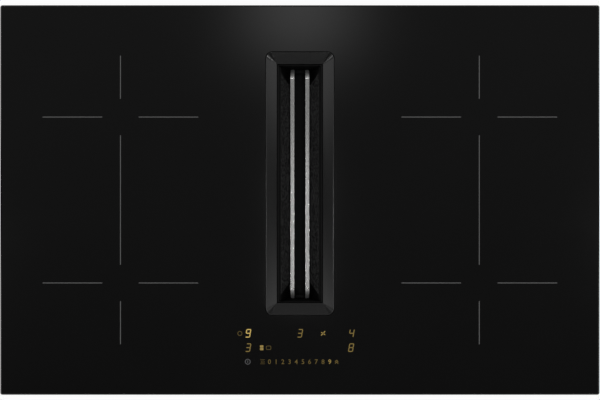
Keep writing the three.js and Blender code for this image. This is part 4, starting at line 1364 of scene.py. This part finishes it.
turn = Matrix((across, (0, 1, 0), facing)).transposed().to_4x4()
middle_x = (PACK_TOP_X + PACK_FOOT_X + PACK_THICKNESS) / 2
middle = Vector((middle_x, (pack_low.y + pack_high.y) / 2, (pack_low.z + pack_high.z) / 2))
right_pack.data.transform(Matrix.Translation(middle) @ turn)
smooth(right_pack, 30)
left_pack = placed_copy(right_pack, moved(0, 2 * middle.y, 0) @ turned(180))
left_pack.name = "left_filter_mesh"
for side, pack in (("right", right_pack), ("left", left_pack)):
    declare(pack, "grease_filter", side + "_filter_pack")

# ---- Grille ----
# Two bars of brushed stainless steel, bent down at both ends, and a black bridge under each
# pair of ends that rests on the filter's frame.

BAR_CORNER = 0.3 * MM
BEND_STEPS = 8


def brushed_steel():
    """Stainless steel brushed lengthwise: fine streaks along Y that break up the reflections."""
    material, surface, place = new_finish("brushed_steel", 1)
    streaks = cloud(place, 0.25 * MM, 3, (1, 400, 1))
    patches = cloud(place, 60 * MM, 2)
    tone = streaks * 0.8 + patches * 0.2
    tone.mix((0.42, 0.42, 0.415, 1), (0.48, 0.48, 0.47, 1)).feed(surface, "Base Color")
    height = place.node("SeparateXYZ", inputs={"Vector": place}, output=2)
    limits = {"Value": height, "From Min": BAR_FLAT_Z - 0.3 * MM, "From Max": BAR_FLAT_Z}
    brushed = height.node("MapRange", inputs=limits)
    (0.5 + brushed * 0.5).feed(surface, "Metallic")
    (0.5 - brushed * 0.38 + streaks * 0.06).feed(surface, "Roughness")
    relief(surface, streaks, 0.01 * MM)
    return material


bar_low, bar_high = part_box("grille_right_bar")
BAR_FLAT_Z = bar_high.z - 0.1 * MM
steel = brushed_steel()
BAR_THICKNESS = 3 * MM
BAR_FLAT = 284.4 * MM
BEND_RADIUS = 3.4 * MM

bar_middle = (bar_low + bar_high) / 2
centre_z = bar_high.z - BAR_THICKNESS / 2
end_reach = (bar_high.y - bar_low.y) / 2
drop = bar_high.z - bar_low.z
slope_angle = math.atan2(drop, end_reach - BAR_FLAT / 2)
bend_start = BAR_FLAT / 2 - BEND_RADIUS * math.tan(slope_angle / 2)
centre_radius = BEND_RADIUS - BAR_THICKNESS / 2

bpy.ops.mesh.primitive_plane_add(size=1, location=(bar_middle.x, bar_middle.y, centre_z))
bpy.context.object.scale = (bar_high.x - bar_low.x, 2 * bend_start, 1)
bar = settle("grille_right_bar_bent")
for end in (-1, 1):
    edit(bar, "EDGE")
    edge_y = bar_middle.y + end * bend_start
    pick(lambda middle, edge: abs(middle.y - edge_y) < 0.1 * MM)
    y, z = bend_start, 0.0
    route = []
    for step in range(1, BEND_STEPS + 1):
        angle = slope_angle * step / BEND_STEPS
        route.append(
            (
                bend_start + centre_radius * math.sin(angle),
                -centre_radius * (1 - math.cos(angle)),
            )
        )
    past = drop + 4 * MM + route[-1][1]
    route.append((route[-1][0] + past / math.tan(slope_angle), route[-1][1] - past))
    for next_y, next_z in route:
        move = {"value": (0, end * (next_y - y), next_z - z)}
        bpy.ops.mesh.extrude_region_move(TRANSFORM_OT_translate=move)
        y, z = next_y, next_z
    leave_edit()
modify(bar, "SOLIDIFY", thickness=BAR_THICKNESS, offset=0, use_even_offset=True)
edit(bar)
take_all()
bpy.ops.mesh.normals_make_consistent(inside=False)
bpy.ops.mesh.bisect(
    plane_co=(0, 0, bar_low.z), plane_no=(0, 0, 1), use_fill=True, clear_inner=True
)
leave_edit()
soften(bar, BAR_CORNER, 3, 50)
modify(bar, "WEIGHTED_NORMAL", keep_sharp=True)
paint(bar, steel)
left_bar = placed_copy(bar, moved(-2 * bar_middle.x, 0, 0))
left_bar.name = "grille_left_bar_bent"
for side, piece in (("right", bar), ("left", left_bar)):
    declare(piece, "grille", f"grille_{side}_bar")

# The bridges take the nearly black copy of the filter's plastic, which is painted shade at the
# ends of the mouth.
for end in ("front", "rear"):
    dress(f"grille_{end}_bridge", shaded_filter_plastic, 0.4 * MM, "grille")

# ---- Worktop clamps ----
# Four zinc-plated claws that swing out from under the casing and clamp the worktop, each on its
# own long screw.

for station in STATIONS:
    dress(station + "_clamp", zinc_sheet, 0.3 * MM, station + "_claw")
    dress(station + "_clamp_screw", bolt_steel, 0.3 * MM)

# ---- Floor ----
# A plain pale floor that shows nearly white round the object and keeps its shadow.

FLOOR_SIZE = 60
WHITE_SHARE = 0.92
WHITE_FROM = 0.8
WHITE_TO = 3

bpy.ops.mesh.primitive_plane_add(size=FLOOR_SIZE, location=(0, 0, -0.2 * MM))
floor = settle("floor")
material = bpy.data.materials.new("floor")
material.use_nodes = True
tree = material.node_tree
floor_shader = tree.nodes["Principled BSDF"]
floor_shader.inputs["Base Color"].default_value = grey(0.8)
floor_shader.inputs["Roughness"].default_value = 0.9
ray = Field(tree).node("LightPath", output="Is Camera Ray")
glossy = Field(tree).node("LightPath", output="Is Glossy Ray")
seen = ray.math("MAXIMUM", ray, glossy)
white_floor = seen.node("Emission", inputs={"Color": grey(1), "Strength": 1})
shaded = Field(tree, floor_shader.outputs[0])
place = Field(tree).node("TexCoord", output="Object")
far = place.node("VectorMath", {"operation": "LENGTH"}, {0: place}, 1)
reach = {"Value": far, "From Min": WHITE_FROM, "From Max": WHITE_TO}
reach.update({"To Min": WHITE_SHARE, "To Max": 1})
share = seen * far.node("MapRange", {"interpolation_type": "SMOOTHSTEP"}, reach)
blend = seen.node("MixShader", inputs={0: share, 1: shaded, 2: white_floor})
tree.links.new(blend.socket, tree.nodes["Material Output"].inputs["Surface"])
paint(floor, material)

# ---- Light ----
# A plain pale room with a dark ceiling. One soft lamp over the rear shows in the glass as a
# glow behind the intake, strip lights at both ends of the side walls shade the trim frame, and a
# tube lamp over the intake shows along the bars.

world = bpy.data.worlds.new("room")
bpy.context.scene.world = world
world.use_nodes = True
tree = world.node_tree
tree.nodes.clear()
direction = Field(tree).node("TexCoord", output="Generated")
split = {"Vector": direction}
run_x, run_y, up = (direction.node("SeparateXYZ", inputs=split, output=i) for i in range(3))
GLOW_Y = 0.235
GLOW_SPREAD = 0.052
GLOW_LEVEL = 0.85
STRIP_CURVE = 24
STRIP_RISE = 1300
STRIP_MOST = 1.2
SLANT_MOST = 0.27
DIFFUSE_LEVEL = 0.65
TUBE_LOW = (-0.135, -0.12)
TUBE_HIGH = (0.14, 0.17)
TUBE_SIDE = (0.02, 0.028)
TUBE = [(0.0, 0.061, 2.05), (-0.1, 0.01, 3.4), (0.146, 0.012, 0.2)]


def fade(value, start, end):
    """Rises smoothly from 0 to 1 between two values."""
    inputs = {"Value": value, "From Min": start, "From Max": end}
    return value.node("MapRange", {"interpolation_type": "SMOOTHSTEP"}, inputs)


safe_up = up.math("MAXIMUM", up, 0.05)
lean_x = run_x.math("DIVIDE", run_x, safe_up)
lean_y = run_y.math("DIVIDE", run_y, safe_up)
off_y = lean_y - GLOW_Y
squared = (lean_x * lean_x + off_y * off_y) * (-0.5 / GLOW_SPREAD**2)
glow = squared.math("EXPONENT", squared) * GLOW_LEVEL
slant = lean_y.math("MINIMUM", lean_y.math("MAXIMUM", lean_y, -SLANT_MOST), SLANT_MOST)
aside = lean_x.math("ABSOLUTE", lean_x)
curved = lean_y * lean_y
strip = curved.math("MINIMUM", curved * (curved * STRIP_RISE + STRIP_CURVE), STRIP_MOST)
off_centre = fade(lean_x * lean_x + curved, 0.22, 0.42)
walls = off_centre * fade(aside, 0.3, 0.95) * (strip - slant * 0.9 - 0.08)
tube = 0
for middle, spread, level in TUBE:
    off = lean_y - middle
    power = off * off * (-0.5 / spread**2)
    tube = power.math("EXPONENT", power) * level + tube
within = (1 - fade(lean_y, *TUBE_HIGH)) * fade(lean_y, *TUBE_LOW)
tube = tube * within * (1 - fade(aside, *TUBE_SIDE))
ends = fade(lean_y.math("ABSOLUTE", lean_y), 0.5, 0.6) * 0.15
ceiling = slant * 0.16 + 0.09 + glow + walls + ends + tube + (1 - fade(up, 0.0, 0.5)) * 0.85
mirror = ceiling.node("Background", inputs={"Color": ceiling, "Strength": 1})
soft = ceiling.node("Background", inputs={"Color": grey(1), "Strength": DIFFUSE_LEVEL})
plain = ceiling.node("Background", inputs={"Color": grey(1), "Strength": 1})
glossy = Field(tree).node("LightPath", output="Is Glossy Ray")
eye = Field(tree).node("LightPath", output="Is Camera Ray")
clear = Field(tree).node("LightPath", output="Is Transmission Ray")
seen = eye.math("MAXIMUM", eye, clear)
lit_room = glossy.node("MixShader", inputs={0: glossy, 1: soft, 2: mirror})
room = seen.node("MixShader", inputs={0: seen, 1: lit_room, 2: plain})
out = tree.nodes.new("ShaderNodeOutputWorld")
tree.links.new(room.socket, out.inputs["Surface"])


def soft_lamp(name, place, width, length, power):
    """A soft box that faces the middle of the glass."""
    lamp = bpy.data.lights.new(name, "AREA")
    lamp.shape = "RECTANGLE"
    lamp.size = width
    lamp.size_y = length
    lamp.energy = power
    holder = bpy.data.objects.new(name, lamp)
    holder.location = place
    aim = Vector((0, 0, glass_high.z)) - Vector(place)
    holder.rotation_euler = aim.to_track_quat("-Z", "Y").to_euler()
    bpy.context.scene.collection.objects.link(holder)


soft_lamp("rear_lamp", (0, 3.4, 8.2), 1.4, 0.6, 28)
soft_lamp("front_lamp", (0, -3.3, 8.2), 1.4, 0.6, 22)
soft_lamp("left_lamp", (-4.3, -0.35, 8.2), 0.6, 0.5, 60)
soft_lamp("right_lamp", (4.3, -0.35, 8.2), 0.6, 0.5, 100)

bpy.context.scene.view_settings.view_transform = "Standard"
